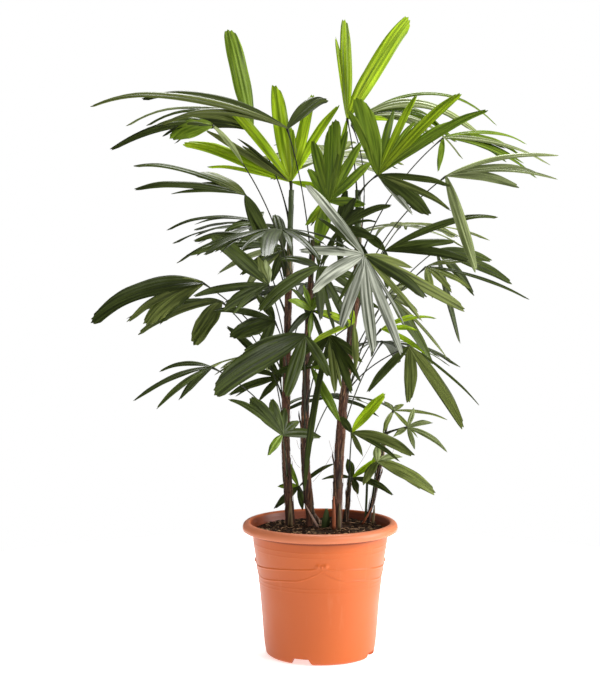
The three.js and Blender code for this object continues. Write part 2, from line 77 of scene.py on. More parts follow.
# %% Wires and finishes
class Wire:
    """The output of one node, on which sums and products can be written."""

    def __init__(self, finish, socket):
        self.finish, self.socket = finish, socket

    def math(self, operation, other=0.0, swapped=False):
        """This wire and another value through a Math node, in that order or swapped."""
        inputs = {0: other, 1: self} if swapped else {0: self, 1: other}
        return self.finish.node("Math", 0, {"operation": operation}, inputs)

    def __add__(self, other):
        return self.math("ADD", other)

    def __sub__(self, other):
        return self.math("SUBTRACT", other)

    def __rsub__(self, other):
        return self.math("SUBTRACT", other, swapped=True)

    def __mul__(self, other):
        return self.math("MULTIPLY", other)

    def __pow__(self, other):
        return self.math("POWER", other)

    __radd__ = __add__
    __rmul__ = __mul__


class Finish:
    """A material with one Principled shader, whose patterns are written as expressions."""

    def __init__(self, name, **constants):
        self.material = bpy.data.materials.new(name)
        self.material.use_nodes = True
        self.tree = self.material.node_tree
        self.shader = self.tree.nodes["Principled BSDF"]
        for socket, value in constants.items():
            self.set(socket.replace("_", " "), value)

    def node(self, kind, output, settings=None, inputs=None):
        node = self.tree.nodes.new("ShaderNode" + kind)
        for key, value in (settings or {}).items():
            setattr(node, key, value)
        for key, value in (inputs or {}).items():
            self.feed(node.inputs[key], value)
        return Wire(self, node.outputs[output])

    def feed(self, socket, value):
        if isinstance(value, Wire):
            self.tree.links.new(value.socket, socket)
        else:
            socket.default_value = value

    def set(self, socket, value):
        self.feed(self.shader.inputs[socket], value)

    def axes(self, vector):
        """The three parts of a vector, as wires."""
        split = self.node("SeparateXYZ", 0, {}, {0: vector}).socket.node
        return [Wire(self, output) for output in split.outputs]

    def pattern(self, vector, detail=3.0, roughness=0.5):
        inputs = {"Vector": vector, "Scale": 1.0, "Detail": detail, "Roughness": roughness}
        return self.node("TexNoise", "Fac", {}, inputs)

    def noise(self, scale, detail=3.0, roughness=0.5):
        inputs = {"Vector": self.node("TexCoord", "Object"), "Scale": scale}
        return self.pattern(self.node("Mapping", 0, {}, inputs), detail, roughness)

    def step(self, value, low, high):
        settings = {"interpolation_type": "SMOOTHSTEP"}
        inputs = {"Value": value, "From Min": low, "From Max": high}
        return self.node("MapRange", "Result", settings, inputs)

    def attribute(self, name):
        return self.node("Attribute", "Fac", {"attribute_name": name})

    def mix(self, factor, first, second):
        settings = {"data_type": "RGBA"}
        return self.node("Mix", 2, settings, {0: factor, 6: first, 7: second})

    def brighter(self, colour, amount):
        return self.node("HueSaturation", 0, {}, {"Color": colour, "Value": amount})

    def bump(self, height, distance, strength=1.0):
        inputs = {"Height": height, "Distance": distance, "Strength": strength}
        self.set("Normal", self.node("Bump", "Normal", {}, inputs))


def paint(red, green, blue):
    """A colour given as 0 to 255 on a screen, as the light it stands for."""
    channels = [value / 255 for value in (red, green, blue)]
    return (*[c / 12.92 if c <= 0.04045 else ((c + 0.055) / 1.055) ** 2.4 for c in channels], 1.0)


# %% [markdown]
# ## Floor, sky and lamps
# The sky is white to the eye and dimmer as a light, so that the lamps model the shapes. A large
# lamp on the right gives the pot its bright side, a smaller one in front on the right draws the
# pleats of the leaves, and one above and behind shines through the young leaves, which is what
# makes the top of the plant glow. A faint one on the left softens the dark side.

# %% Stage and light
FLOOR_RADIUS, FLOOR_GLOW = 1.0, 0.6
SKY_SEEN, SKY_LIGHT = 1.0, 0.3
LAMPS = {
    "right_lamp": ((2.6, -0.5, 0.9), 1.8, 84.0),
    "key_lamp": ((1.5, -2.0, 2.0), 0.8, 34.0),
    "top_lamp": ((0.1, 1.1, 2.7), 1.2, 95.0),
    "left_lamp": ((-2.2, -1.6, 1.2), 1.2, 5.0),
}
AIM = Vector((0, 0, 0.5))

floor_shape = bmesh.new()
bmesh.ops.create_circle(floor_shape, cap_ends=True, segments=96, radius=FLOOR_RADIUS)
bmesh.ops.translate(floor_shape, verts=floor_shape.verts, vec=(0, 0, -0.0005))
floor_mesh = bpy.data.meshes.new("floor")
floor_shape.to_mesh(floor_mesh)
floor = bpy.data.objects.new("floor", floor_mesh)
floor_finish = Finish(
    "pale_floor", Base_Color=(0.95, 0.95, 0.95, 1), Roughness=0.9,
    Emission_Color=(1, 1, 1, 1), Emission_Strength=FLOOR_GLOW,
)
floor.data.materials.append(floor_finish.material)
scene.collection.objects.link(floor)

world = bpy.data.worlds.new("sky")
world.use_nodes = True
background = world.node_tree.nodes["Background"]
background.inputs["Color"].default_value = (1, 1, 1, 1)
seen = world.node_tree.nodes.new("ShaderNodeLightPath")
strength = world.node_tree.nodes.new("ShaderNodeMapRange")
strength.inputs["To Min"].default_value = SKY_LIGHT
strength.inputs["To Max"].default_value = SKY_SEEN
world.node_tree.links.new(seen.outputs["Is Camera Ray"], strength.inputs["Value"])
world.node_tree.links.new(strength.outputs["Result"], background.inputs["Strength"])
scene.world = world
scene.view_settings.view_transform = "Standard"

for name, (place, size, power) in LAMPS.items():
    lamp = bpy.data.objects.new(name, bpy.data.lights.new(name, "AREA"))
    lamp.data.shape = "DISK"
    lamp.data.size = size
    lamp.data.energy = power
    lamp.location = place
    lamp.rotation_euler = (AIM - Vector(place)).to_track_quat("-Z", "Y").to_euler()
    scene.collection.objects.link(lamp)

# %% [markdown]
# ## Putting a piece in the scene
# Every piece sits at the origin with its place in its mesh, rides on the part's one body, and hides
# the solids that it stands for.

# %% Placing a piece
def put(name, mesh, finish, nodes, sharp=None):
    piece = bpy.data.objects.new(name, mesh)
    mesh.shade_smooth()
    if sharp is not None:
        mesh.set_sharp_from_angle(angle=math.radians(sharp))
    mesh.materials.clear()
    mesh.materials.append(finish.material)
    scene.collection.objects.link(piece)
    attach(piece, "root")
    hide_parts(*nodes)
    print(name, len(mesh.polygons), "faces")
    return piece


def points_of(mesh):
    """The points of a mesh, in millimetres."""
    flat = np.empty(len(mesh.vertices) * 3)
    mesh.vertices.foreach_get("co", flat)
    return flat.reshape(-1, 3) / MM


def move_points(mesh, points):
    mesh.vertices.foreach_set("co", (points * MM).ravel())
    mesh.update()


# %% [markdown]
# ## The pot
# The pot is one moulding, turned from its outline: a pad and a foot ring below, a wall that widens
# upwards, and a rolled rim that is hollow underneath. Spinning an outline is the natural way to
# make it. The outline's corners are rounded first, because a mould has no sharp edges.

# %% The pot's outline
POT_STEPS = 400
POT_FLOOR = 9.5
POT_UNDERSIDE = [(0, 0), (38, 0), (40, POT_FLOOR), (73, POT_FLOOR), (75, 0), (79, 0)]
POT_SIDE = [(83.6, 3.5), (86.6, 20), (91.3, 83), (96.6, 133), (104.3, 182)]
POT_RIM = [
    (105.3, 200), (116.3, 200), (116.5, 193), (118.8, 193.5), (119.5, 199), (118.2, 203.5),
    (114.5, 206.4), (109.5, 207), (107.2, 205.3),
]
POT_INSIDE = [(101.3, 182), (93.6, 133), (88.3, 83), (83.6, 20), (77, 12.5), (0, 12.5)]
PLAIN_ROWS = (20, 35, 50, 65, 80, 90)
RELIEF_LOW, RELIEF_HIGH, RELIEF_ROW = 108.0, 179.0, 0.6
FOOT_ROUNDING, RIM_ROUNDING = (1.6, 3), (2.6, 5)


def bent(start, bend, end, t):
    """The point at part t of a curve that leaves start towards bend and comes to end from it."""
    return start * (1 - t) ** 2 + bend * 2 * t * (1 - t) + end * t ** 2


def rounded(corners, reach, parts):
    """The outline with each inner corner cut back by reach and bridged by a curve."""
    corners = [Vector(corner) for corner in corners]
    points = [corners[0]]
    for before, corner, after in zip(corners, corners[1:], corners[2:]):
        into, out = before - corner, after - corner
        start = corner + into * min(reach / into.length, 0.45)
        end = corner + out * min(reach / out.length, 0.45)
        points += [bent(start, corner, end, k / parts) for k in range(parts + 1)]
    return points + [corners[-1]]


def side_radius(height):
    """The radius of the wall's outside, as a smooth curve through the named sizes."""
    radii, heights = zip(*POT_SIDE)
    near = [np.interp(height + shift, heights, radii) for shift in (-12, -6, 0, 6, 12)]
    return np.mean(near, axis=0)


relief_rows = np.arange(RELIEF_LOW, RELIEF_HIGH, RELIEF_ROW)
wall = [(side_radius(z), z) for z in [*PLAIN_ROWS, *relief_rows]]
foot = rounded([*POT_UNDERSIDE, POT_SIDE[0], *wall[:2]], *FOOT_ROUNDING)[:-1]
rim = rounded([wall[-1], (side_radius(181), 181), *POT_RIM, *POT_INSIDE], *RIM_ROUNDING)[1:]
pot_outline = [*foot, *map(Vector, wall[1:]), *rim]
print("pot outline:", len(pot_outline), "points")

# %% Turning a shape
def turned(outline, steps):
    """A bmesh of the outline, given as (radius, height) in millimetres, spun round the Z axis."""
    shape = bmesh.new()
    corners = [shape.verts.new((radius * MM, 0, height * MM)) for radius, height in outline]
    edges = [shape.edges.new(pair) for pair in zip(corners, corners[1:])]
    bmesh.ops.spin(
        shape, geom=corners + edges, cent=(0, 0, 0), axis=(0, 0, 1),
        angle=2 * math.pi, steps=steps, use_merge=True,
    )
    bmesh.ops.remove_doubles(shape, verts=shape.verts, dist=1e-6)
    bmesh.ops.recalc_face_normals(shape, faces=shape.faces)
    return shape


def mesh_of(shape, name):
    mesh = bpy.data.meshes.new(name)
    shape.to_mesh(mesh)
    shape.free()
    return mesh


# %% [markdown]
# ### Drain notches
# Four notches through the foot ring let water out. Each is wider at the ground than above. A
# wedge for each is cut away by a Boolean modifier, and the result is kept as the mesh.

# %% The notched pot
NOTCHES = 4
NOTCH_ANGLE = -111
NOTCH_TOP, NOTCH_FOOT, NOTCH_HEIGHT, NOTCH_BELOW = 25.0, 36.0, 9.6, 1.0
NOTCH_RADII = (64, 94)

wedges = bmesh.new()
for k in range(NOTCHES):
    corners = [
        (-NOTCH_FOOT / 2, -NOTCH_BELOW), (NOTCH_FOOT / 2, -NOTCH_BELOW),
        (NOTCH_TOP / 2, NOTCH_HEIGHT), (-NOTCH_TOP / 2, NOTCH_HEIGHT),
    ]
    face = wedges.faces.new([wedges.verts.new((NOTCH_RADII[0], x, z)) for x, z in corners])
    grown = bmesh.ops.extrude_face_region(wedges, geom=[face])["geom"]
    moved = [part for part in grown if isinstance(part, bmesh.types.BMVert)]
    bmesh.ops.translate(wedges, verts=moved, vec=(NOTCH_RADII[1] - NOTCH_RADII[0], 0, 0))
    turn = Matrix.Rotation(math.radians(NOTCH_ANGLE + k * 360 / NOTCHES), 3, "Z")
    bmesh.ops.rotate(wedges, verts=list(face.verts) + moved, cent=(0, 0, 0), matrix=turn)
bmesh.ops.scale(wedges, verts=wedges.verts, vec=(MM, MM, MM))
bmesh.ops.recalc_face_normals(wedges, faces=wedges.faces)
cutter = bpy.data.objects.new("cutter", mesh_of(wedges, "cutter"))
blank = bpy.data.objects.new("blank", mesh_of(turned(pot_outline, POT_STEPS), "blank"))
for maker in (cutter, blank):
    scene.collection.objects.link(maker)
cut = blank.modifiers.new("notches", "BOOLEAN")
cut.operation, cut.solver, cut.object = "DIFFERENCE", "MANIFOLD", cutter
finished = blank.evaluated_get(bpy.context.evaluated_depsgraph_get())
pot_mesh = bpy.data.meshes.new_from_object(finished)
for maker in (cutter, blank):
    bpy.data.objects.remove(maker)
print("pot mesh:", len(pot_mesh.polygons), "faces")

# %% [markdown]
# ### The moulded swag
# A ribbon is moulded round the wall. It is tied in a small knot at four places and hangs wide
# between them, a little lower at the sides, with fine rings above and below. It stands out by less
# than a millimetre, and only its knots by more, so the wall's own points are moved: that gives the
# soft edges of a moulding, which a separate strip laid on the wall wouldn't have.

# %% Relief on the wall
KNOTS = 4
KNOT_ANGLE = math.radians(-89)
KNOT_HEIGHT, KNOT_RAISE, KNOT_SIZE = 155.0, 2.6, (2.1, 2.9)
LOOP_ASIDE, LOOP_HIGHER, LOOP_RAISE, LOOP_SIZE = 5.5, 0.8, 2.4, (3.5, 3.2)
RIBBON_TOP, RIBBON_FOOT, RIBBON_RAISE = 150.5, 132.5, 0.8
RIBBON_GATHER, GATHER_RISE = 41.0, 15.5
TIE_RISE, TIE_WIDTH = 4.0, 9.0
BAND_SHARE, HEM_SHARE, HEM, EDGE = 0.4, 0.9, 1.1, 0.8
SIDE_DROP = 9.0
RINGS = [(176, 0.22), (168, 0.22), (119.5, 0.25), (114, 0.25)]
RING_HALF_WIDTH = 0.9


def soft(value, width):
    """0 well below zero, 1 well above it, and smooth between."""
    t = np.clip(value / width / 2 + 0.5, 0, 1)
    return t * t * (3 - 2 * t)


def hump(across, across_size, up, up_size):
    """1 at the middle of a rounded bump and next to nothing beyond its sizes."""
    return np.exp(-(across / across_size) ** 2 - (up / up_size) ** 2)


def relief(angle, height, radius):
    """How far the wall stands out at each point, in millimetres."""
    rings = [raised * hump(height - at, RING_HALF_WIDTH, 0, 1) for at, raised in RINGS]
    step = 2 * math.pi / KNOTS
    away = np.abs(radius * ((angle - KNOT_ANGLE + step / 2) % step - step / 2))
    height = height + SIDE_DROP * np.sin(angle - KNOT_ANGLE) ** 2
    top = RIBBON_TOP + TIE_RISE * hump(away, TIE_WIDTH, 0, 1)
    low = RIBBON_FOOT + GATHER_RISE * (1 - np.clip(away / RIBBON_GATHER, 0, 1)) ** 1.7
    band = soft(height - low, EDGE) * soft(top - height, EDGE)
    hems = hump(height - low, HEM, 0, 1) + hump(height - top, HEM, 0, 1)
    ribbon = RIBBON_RAISE * (BAND_SHARE * band + HEM_SHARE * hems)
    higher = height - KNOT_HEIGHT
    loops = LOOP_RAISE * hump(away - LOOP_ASIDE, LOOP_SIZE[0], higher - LOOP_HIGHER, LOOP_SIZE[1])
    knot = KNOT_RAISE * hump(away, KNOT_SIZE[0], higher, KNOT_SIZE[1])
    return np.maximum.reduce([ribbon, loops, knot, *rings])


points = points_of(pot_mesh)
radius = np.hypot(points[:, 0], points[:, 1])
outside = np.abs(radius - side_radius(points[:, 2])) < 0.5
outside &= (points[:, 2] > RELIEF_LOW) & (points[:, 2] < RELIEF_HIGH)
angle = np.arctan2(points[:, 1], points[:, 0])
grow = np.where(outside, relief(angle, points[:, 2], radius), 0) / np.maximum(radius, 1)
points[:, :2] *= 1 + grow[:, None]
move_points(pot_mesh, points)

# %% [markdown]
# ### Terracotta-coloured plastic
# The pot is polypropylene, coloured through. It has a satin skin with a faint orange-peel grain
# and slightly uneven gloss, and its colour drifts a little where the plastic flowed in the mould.
# A painted highlight makes the rim's outer band and top paler, and painted shade darkens the wall
# just under the lip and inside, above the soil.

# %% The pot's finish
plastic = Finish("terracotta_plastic", IOR=1.49, Specular_IOR_Level=0.36)
flow = plastic.noise((5, 5, 12), 2.0)
scuffs = plastic.step(plastic.noise((60, 60, 9), 4.0, 0.6), 0.58, 0.78)
warm = plastic.mix(flow, paint(186, 86, 32), paint(197, 99, 42))
scuffed = plastic.mix(scuffs * 0.14, warm, paint(214, 146, 108))
east, north, height = plastic.axes(plastic.node("TexCoord", "Object"))
from_axis = (east * east + north * north) ** 0.5
# Painted highlight: the rim's outer band and top are painted paler, as the lamps light them.
rim_highlight = plastic.step(height, 0.1925, 0.1950) * plastic.step(from_axis, 0.1080, 0.1100)
with_rim_highlight = plastic.mix(rim_highlight * 0.2, scuffed, paint(240, 180, 150))
# Painted shade: the wall just under the lip and inside above the soil are painted darker.
lip_and_inner_shade = plastic.step(height, 0.1865, 0.1900) * (1.0 - plastic.step(from_axis, 0.1062, 0.1085))
plastic.set("Base Color", plastic.mix(lip_and_inner_shade * 0.75, with_rim_highlight, paint(96, 38, 18)))
plastic.set("Roughness", plastic.noise((30, 30, 30), 2.0) * 0.16 + scuffs * 0.1 + 0.34)
plastic.bump(plastic.noise((900, 900, 900), 2.0), 0.00012, 0.35)
put("pot_moulding", pot_mesh, plastic, ["pot"], sharp=40)

# %% [markdown]
# ## The soil
# Dark moist potting mix fills the pot to a finger's width below the rim. It is turned like the
# pot, its top is roughened into crumbs that heap a little round the canes, and bark chips and pale
# root fibres are strewn over it.

# %% The body of the soil
SOIL_TOP = 193.0
SOIL_CLEAR = 0.3
SOIL_STEPS, SOIL_RINGS = 210, 64
SOIL_EDGE = 101.0

bed = [(radius - SOIL_CLEAR, height) for radius, height in reversed(POT_INSIDE[:-1])]
surface = [(SOIL_EDGE * (1 - k / SOIL_RINGS), SOIL_TOP) for k in range(SOIL_RINGS + 1)]
soil_mesh = mesh_of(turned([(0, bed[0][1] + SOIL_CLEAR), *bed, *surface], SOIL_STEPS), "soil_mix")

# %% [markdown]
# ## The canes
# Each cane is a slender stem that leans and curves a little. Its middle follows a smooth curve
# through a few places at equal steps of height, and its radius tapers, with a flare at the foot.
# The tables hold the same sizes as the solids, in millimetres.

# %% Where the canes stand
CANES = {
    "A": (716, 6.9, 4.2, [(-46, 25), (-53, 22), (-51, 18), (-48, 14), (-44, 10)]),
    "B": (640, 7.2, 3.8, [(-13, 20), (-23, 16), (-22, 14), (-17, 16), (-11, 20)]),
    "C": (716, 8.0, 4.4, [(25, 0), (30, 0), (42, -5), (56, -5), (57, 0)]),
    "D": (264, 3.5, 2.6, [(40, 52), (44, 47), (46, 42)]),
    "E": (341, 3.6, 2.4, [(73, 45), (85, 40), (94, 35), (101, 30)]),
}
STUB = (232, 3.4, 2.6, [(4, 34), (-10, 34), (-24, 34)])
CANE_FOOT = SOIL_TOP + 0.3
FLARE, FLARE_HEIGHT = 0.4, 24.0


def cane_middle(cane, height):
    """The middle of a cane at a height, on the curve through its places."""
    top, _, _, places = cane
    spans = len(places) - 1
    along = min(max((height - CANE_FOOT) / (top - CANE_FOOT), 0), 1) * spans
    k = min(int(along), spans - 1)
    t = along - k
    places = np.array(places, float)
    beyond = [2 * places[0] - places[1], *places, 2 * places[-1] - places[-2]]
    before, start, end, after = beyond[k:k + 4]
    leave, arrive = (end - before) / 2, (after - start) / 2
    x, y = (
        (2 * start - 2 * end + leave + arrive) * t ** 3
        + (3 * end - 3 * start - 2 * leave - arrive) * t ** 2 + leave * t + start
    )
    return np.array((x, y, height))


def cane_radius(cane, height):
    top, foot_radius, top_radius, _ = cane
    along = (height - CANE_FOOT) / (top - CANE_FOOT)
    flare = FLARE * max(0, 1 - (height - CANE_FOOT) / FLARE_HEIGHT) ** 2
    return (foot_radius + (top_radius - foot_radius) * along) * (1 + flare)


def beside_cane(cane, height, angle, radius):
    """The point at a height, an angle and a distance from the middle of a cane."""
    return cane_middle(cane, height) + radius * np.array((math.cos(angle), math.sin(angle), 0))


# %% [markdown]
# ## Many small things as arrays
# Leaflets, stalks, fibres and chips number in the hundreds. Each kind starts as one unit shape
# from a bmesh operator. Its points are then carried to every place by array arithmetic, and the
# copies are joined into one mesh, which keeps the file small and quick.

# %% Unit shapes and bundles
def arrays_of(shape):
    """The points and faces of a bmesh, which is then freed."""
    shape.verts.index_update()
    points = np.array([vert.co for vert in shape.verts])
    faces = [[vert.index for vert in face.verts] for face in shape.faces]
    shape.free()
    return points, faces


def unit_tube(sides, steps):
    """A closed tube of radius 1 from z = 0 to z = 1."""
    shape = bmesh.new()
    bmesh.ops.create_cone(shape, cap_ends=True, segments=sides, radius1=1, radius2=1, depth=1)
    bmesh.ops.translate(shape, verts=shape.verts, vec=(0, 0, 0.5))
    upright = [edge for edge in shape.edges if abs(edge.verts[0].co.z - edge.verts[1].co.z) > 0.5]
    bmesh.ops.subdivide_edges(shape, edges=upright, cuts=steps - 1, use_grid_fill=True)
    return arrays_of(shape)


def unit_blade(columns, rows):
    """A flat blade from x = -1 to 1 across and y = 0 to 1 along."""
    shape = bmesh.new()
    bmesh.ops.create_grid(shape, x_segments=columns, y_segments=rows, size=1)
    bmesh.ops.translate(shape, verts=shape.verts, vec=(0, 1, 0))
    bmesh.ops.scale(shape, verts=shape.verts, vec=(1, 0.5, 1))
    return arrays_of(shape)


class Bundle:
    """Copies of unit shapes, kept as arrays until they are joined into one mesh."""

    def __init__(self):
        self.points, self.faces, self.tones, self.places, self.count = [], [], [], [], 0

    def add(self, points, faces, tone=0.5, place=None):
        self.points.append(points)
        self.faces += [[index + self.count for index in face] for face in faces]
        self.tones.append(np.broadcast_to(tone, len(points)))
        self.places.append(np.zeros((len(points), 2)) if place is None else place)
        self.count += len(points)

    def mesh(self, name):
        mesh = bpy.data.meshes.new(name)
        mesh.from_pydata(np.concatenate(self.points) * MM, [], self.faces)
        tone = mesh.attributes.new("tone", "FLOAT", "POINT")
        tone.data.foreach_set("value", np.concatenate(self.tones).astype(np.float32))
        corners = np.empty(len(mesh.loops), np.int32)
        mesh.loops.foreach_get("vertex_index", corners)
        places = np.concatenate(self.places)[corners].astype(np.float32)
        mesh.uv_layers.new(name="along").uv.foreach_set("vector", places.ravel())
        mesh.validate()
        return mesh

    def put(self, name, finish, slot, nodes, sharp=None):
        return put(name, self.mesh(name), finish, nodes, sharp)


def unit(vectors):
    return vectors / np.linalg.norm(vectors, axis=-1, keepdims=True)


def tube(bundle, shape, path, radii, tone=0.5):
    """Carries a unit tube along a path of points, with a radius at each."""
    points, faces = shape
    at = points[:, 2] * (len(path) - 1)
    low = np.minimum(at.astype(int), len(path) - 2)
    part = (at - low)[:, None]
    ahead = unit(np.gradient(path, axis=0))
    along = unit(ahead[low] * (1 - part) + ahead[low + 1] * part)
    aside = np.where(np.abs(along[:, 2:]) > 0.9, (1.0, 0.0, 0.0), (0.0, 0.0, 1.0))
    across = unit(np.cross(along, aside))
    deep = np.cross(across, along)
    size = np.interp(at, range(len(path)), radii)[:, None]
    middle = path[low] * (1 - part) + path[low + 1] * part
    round_it = across * points[:, :1] + deep * points[:, 1:2]
    bundle.add(middle + round_it * size, faces, tone)


# %% [markdown]
# ### Sheaths and fibre
# The bark of this palm is the fibre of old leaf bases. Each base wraps the cane, ends in a ragged
# edge, and the next one comes out from under it. So a cane's surface swells slowly and then steps
# in, again and again, with fine ridges along it.

# %% Relief of a cane
CANE_SIDES, CANE_ROW = 28, 2.4
CORE_SHARE = 0.9
SHEATH_THICKNESS, SHEATH_SPAN, SHEATH_STEP = 1.5, 34.0, 0.96
RIDGE = 0.55
GREEN_FROM = {"A": 560, "B": 610, "C": 600, "D": 236, "E": 285}


def cane_bundle(cane, seed, green_from):
    """A cane with the steps of its sheaths, and a tone that says where it is still green."""
    top, foot_radius, _, _ = cane
    rows = round((top - CANE_FOOT) / CANE_ROW)
    points, faces = unit_tube(CANE_SIDES, rows)
    placed, tones = np.empty_like(points), np.empty(len(points))
    for i, (x, y, part) in enumerate(points):
        angle, height = math.atan2(y, x), CANE_FOOT + part * (top - CANE_FOOT)
        east, north = math.cos(angle), math.sin(angle)
        rough = noise.noise(Vector((east * 1.3, north * 1.3, height / 19 + seed)))
        ridge = noise.noise(Vector((east * 7, north * 7, height / 26 + seed * 5)))
        edge = height + 9 * math.cos(angle - seed * 2.4 - height / 40) + 7 * rough
        lap = (edge / SHEATH_SPAN + seed * 0.37) % 1
        thick = SHEATH_THICKNESS * min(1, foot_radius / 6) * lap ** 1.4
        if lap >= SHEATH_STEP:
            thick *= 0.4
        green = min(max((height + 18 * rough - green_from) / 45, 0), 1)
        radius = cane_radius(cane, height) * CORE_SHARE + thick * (1 - 0.6 * green)
        radius += RIDGE * ridge * (1 - 0.7 * green)
        placed[i] = beside_cane(cane, height, angle, radius * math.hypot(x, y))
        tones[i] = green
    bundle = Bundle()
    bundle.add(placed, faces, tones)
    return bundle


# %% [markdown]
# ### The colour of a cane
# The fibre is dark red-brown, streaked along the cane with paler strands, and the young top is
# still green. The mesh's tone says how green each point is.

# %% Cane finish
def fibre_finish(name, dark, middle, pale, green):
    finish = Finish(name)
    streak = finish.noise((150, 150, 16), 4.0, 0.65)
    patch = finish.noise((22, 22, 30), 3.0)
    brown = finish.mix(finish.step(streak, 0.38, 0.66), paint(*dark), paint(*middle))
    strands = finish.step(finish.noise((420, 420, 26), 3.0, 0.6), 0.56, 0.72)
    brown = finish.mix(strands * finish.step(patch, 0.35, 0.6), brown, paint(*pale))
    fresh = finish.mix(finish.step(streak, 0.3, 0.7), paint(*green), paint(70, 84, 34))
    finish.set("Base Color", finish.mix(finish.attribute("tone"), brown, fresh))
    finish.set("Roughness", 0.86 - finish.attribute("tone") * 0.35)
    finish.bump(finish.noise((520, 520, 40), 4.0, 0.6), 0.0006, 0.7)
    return finish


FIBRES = {
    "cane_fibre": ((42, 25, 18), (100, 60, 40), (172, 124, 88), (38, 50, 16)),
    "young_cane_fibre": ((22, 16, 13), (58, 38, 29), (120, 84, 60), (34, 42, 16)),
    "dry_fibre": ((48, 34, 28), (98, 72, 56), (190, 160, 134), (60, 70, 40)),
}
bark, young, dry = (fibre_finish(name, *colours) for name, colours in FIBRES.items())
TALL_CANES = "ABC"
STUB_SEED, NEVER_GREEN = 7, 999
all_canes = [f"cane_{letter.lower()}" for letter in CANES]
for seed, (node, (letter, cane)) in enumerate(zip(all_canes, CANES.items()), 1):
    fibre = bark if letter in TALL_CANES else young
    bundle = cane_bundle(cane, seed, GREEN_FROM[letter])
    bundle.put(f"{node}_bark", fibre, "cane_sheath", [node], sharp=70)
stub = cane_bundle(STUB, STUB_SEED, NEVER_GREEN)
stub.put("dead_stub_bark", dry, "dry_fibre", ["dead_stub"], sharp=70)

# %% [markdown]
# ### Loose strands and sheath ends
# Strands of fibre cross the canes at a slant and stand off at their ends, and here and there the
# ragged end of a leaf base sticks out. They are what makes the outline of a cane look soft and
# torn, so they are real threads and blades, and not only a pattern.

# %% Strands and sheath ends
STRANDS = {"A": 150, "B": 130, "C": 170, "D": 26, "E": 36}
ENDS = {"A": 9, "B": 8, "C": 10, "D": 2, "E": 3}
STRAND, SHEATH_END = unit_tube(3, 8), unit_blade(4, 8)
STRAND_STEPS = np.linspace(0, 1, 9)
strands, ends = Bundle(), Bundle()
chance = random.Random(41)


def thicken(piece, thickness):
    """Gives a sheet its thickness, in millimetres."""
    solid = piece.modifiers.new("thickness", "SOLIDIFY")
    solid.thickness = thickness * MM
    return solid


for letter, cane in CANES.items():
    top, foot_radius, _, _ = cane
    high = min(top, GREEN_FROM[letter] + 60)
    slender = min(1, foot_radius / 5)
    for _ in range(STRANDS[letter]):
        start, length = chance.uniform(CANE_FOOT, high - 20), chance.uniform(18, 62)
        angle, slant = chance.uniform(0, 2 * math.pi), chance.uniform(-1.1, 1.1)
        stand = chance.choice((0.2, 0.4, 0.8, 2.4)) * slender
        path = []
        for t in STRAND_STEPS:
            height = min(start + length * t, top + 4)
            radius = cane_radius(cane, min(height, top)) * CORE_SHARE + 0.9 + stand * t ** 3
            path.append(beside_cane(cane, height, angle + slant * t, radius))
        tube(strands, STRAND, np.array(path), np.linspace(0.34, 0.16, 9), chance.random())
    for _ in range(ENDS[letter]):
        start, length = chance.uniform(CANE_FOOT, high - 40), chance.uniform(24, 46)
        angle = chance.uniform(0, 2 * math.pi)
        width = foot_radius * chance.uniform(0.5, 0.8)
        stand = chance.uniform(1.0, 4.5) * slender
        blade, faces = SHEATH_END
        placed = np.empty_like(blade)
        for i, (s, t, _) in enumerate(blade):
            height = start + length * t * (1 - 0.25 * abs(s))
            spread = width * (1 - 0.75 * t ** 1.5) * s
            radius = cane_radius(cane, min(height, top)) * CORE_SHARE + 1.1 + stand * t ** 2
            placed[i] = beside_cane(cane, height, angle + spread / radius, radius)
        ends.add(placed, faces, chance.random() * 0.2)
strand_finish = Finish("strand_fibre", Roughness=0.85)
strand_tone = strand_finish.attribute("tone")
strand_brown = strand_finish.mix(strand_tone, paint(70, 44, 32), paint(170, 134, 100))
strand_finish.set("Base Color", strand_brown)
strands.put("cane_strands", strand_finish, "cane_sheath", all_canes)
thicken(ends.put("sheath_ends", bark, "cane_sheath", all_canes), 0.5)

# %% [markdown]
# ### Strips at the feet
# At the feet a few whole leaf bases have split away, each in a colour of its own: straw, rust or
# pale pink, or still green where a shoot is starting. A strip is a blade from its foot to its end,
# bowed towards the front. Thin threads of fibre also stretch loose between the canes.

# %% Strips, a shoot and threads
STRAW, RUST, PALE, SHOOT = 0.0, 0.33, 0.66, 1.0
STRIPS = [
    ((-48, 15, 195), (-46, 14, 241), 5, STRAW), ((-44, 12, 195), (-45, 16, 232), 4, STRAW),
    ((21, -12, 196), (21, -9, 247), 6, RUST), ((29, -12, 196), (30, -9, 236), 6, STRAW),
    ((-2, 7, 194), (-23, 11, 231), 4, PALE), ((8, 2, 194), (10, -4, 227), 13, SHOOT),
    ((82, 34, 195), (85, 32, 226), 5, STRAW), ((66, 34, 195), (80, 30, 222), 4, RUST),
]
STRIP_BOW = 3.0
SHOOT_STALK = ((71, 45, 193), (73, 46, 228), (74, 45, 263))
SHOOT_RADIUS = 1.3
THREADS = [
    ((-11, 264), (17, 304)), ((53, 280), (82, 329)), ((54, 256), (67, 218)),
    ((-44, 306), (-31, 286)), ((14, 329), (21, 309)), ((104, 298), (116, 319)),
    ((-36, 329), (-31, 315)),
]
THREAD_PLACE, THREAD_SAG, THREAD_RADIUS = 24.0, 3.0, 0.3
UP = np.array((0.0, 0.0, 1.0))
strips, threads = Bundle(), Bundle()
for foot_end, top_end, width, tone in STRIPS:
    blade, faces = SHEATH_END
    s, t = blade[:, 0], blade[:, 1]
    spread = width / 2 * (0.55 + 0.45 * np.cos(np.pi * (t - 0.3))) * s
    line = np.outer(1 - t, foot_end) + np.outer(t, top_end)
    line[:, 0] += spread
    line[:, 1] -= STRIP_BOW * np.sin(np.pi * t) - 0.35 * np.abs(spread)
    strips.add(line, faces, tone)
t = STRAND_STEPS[:, None]
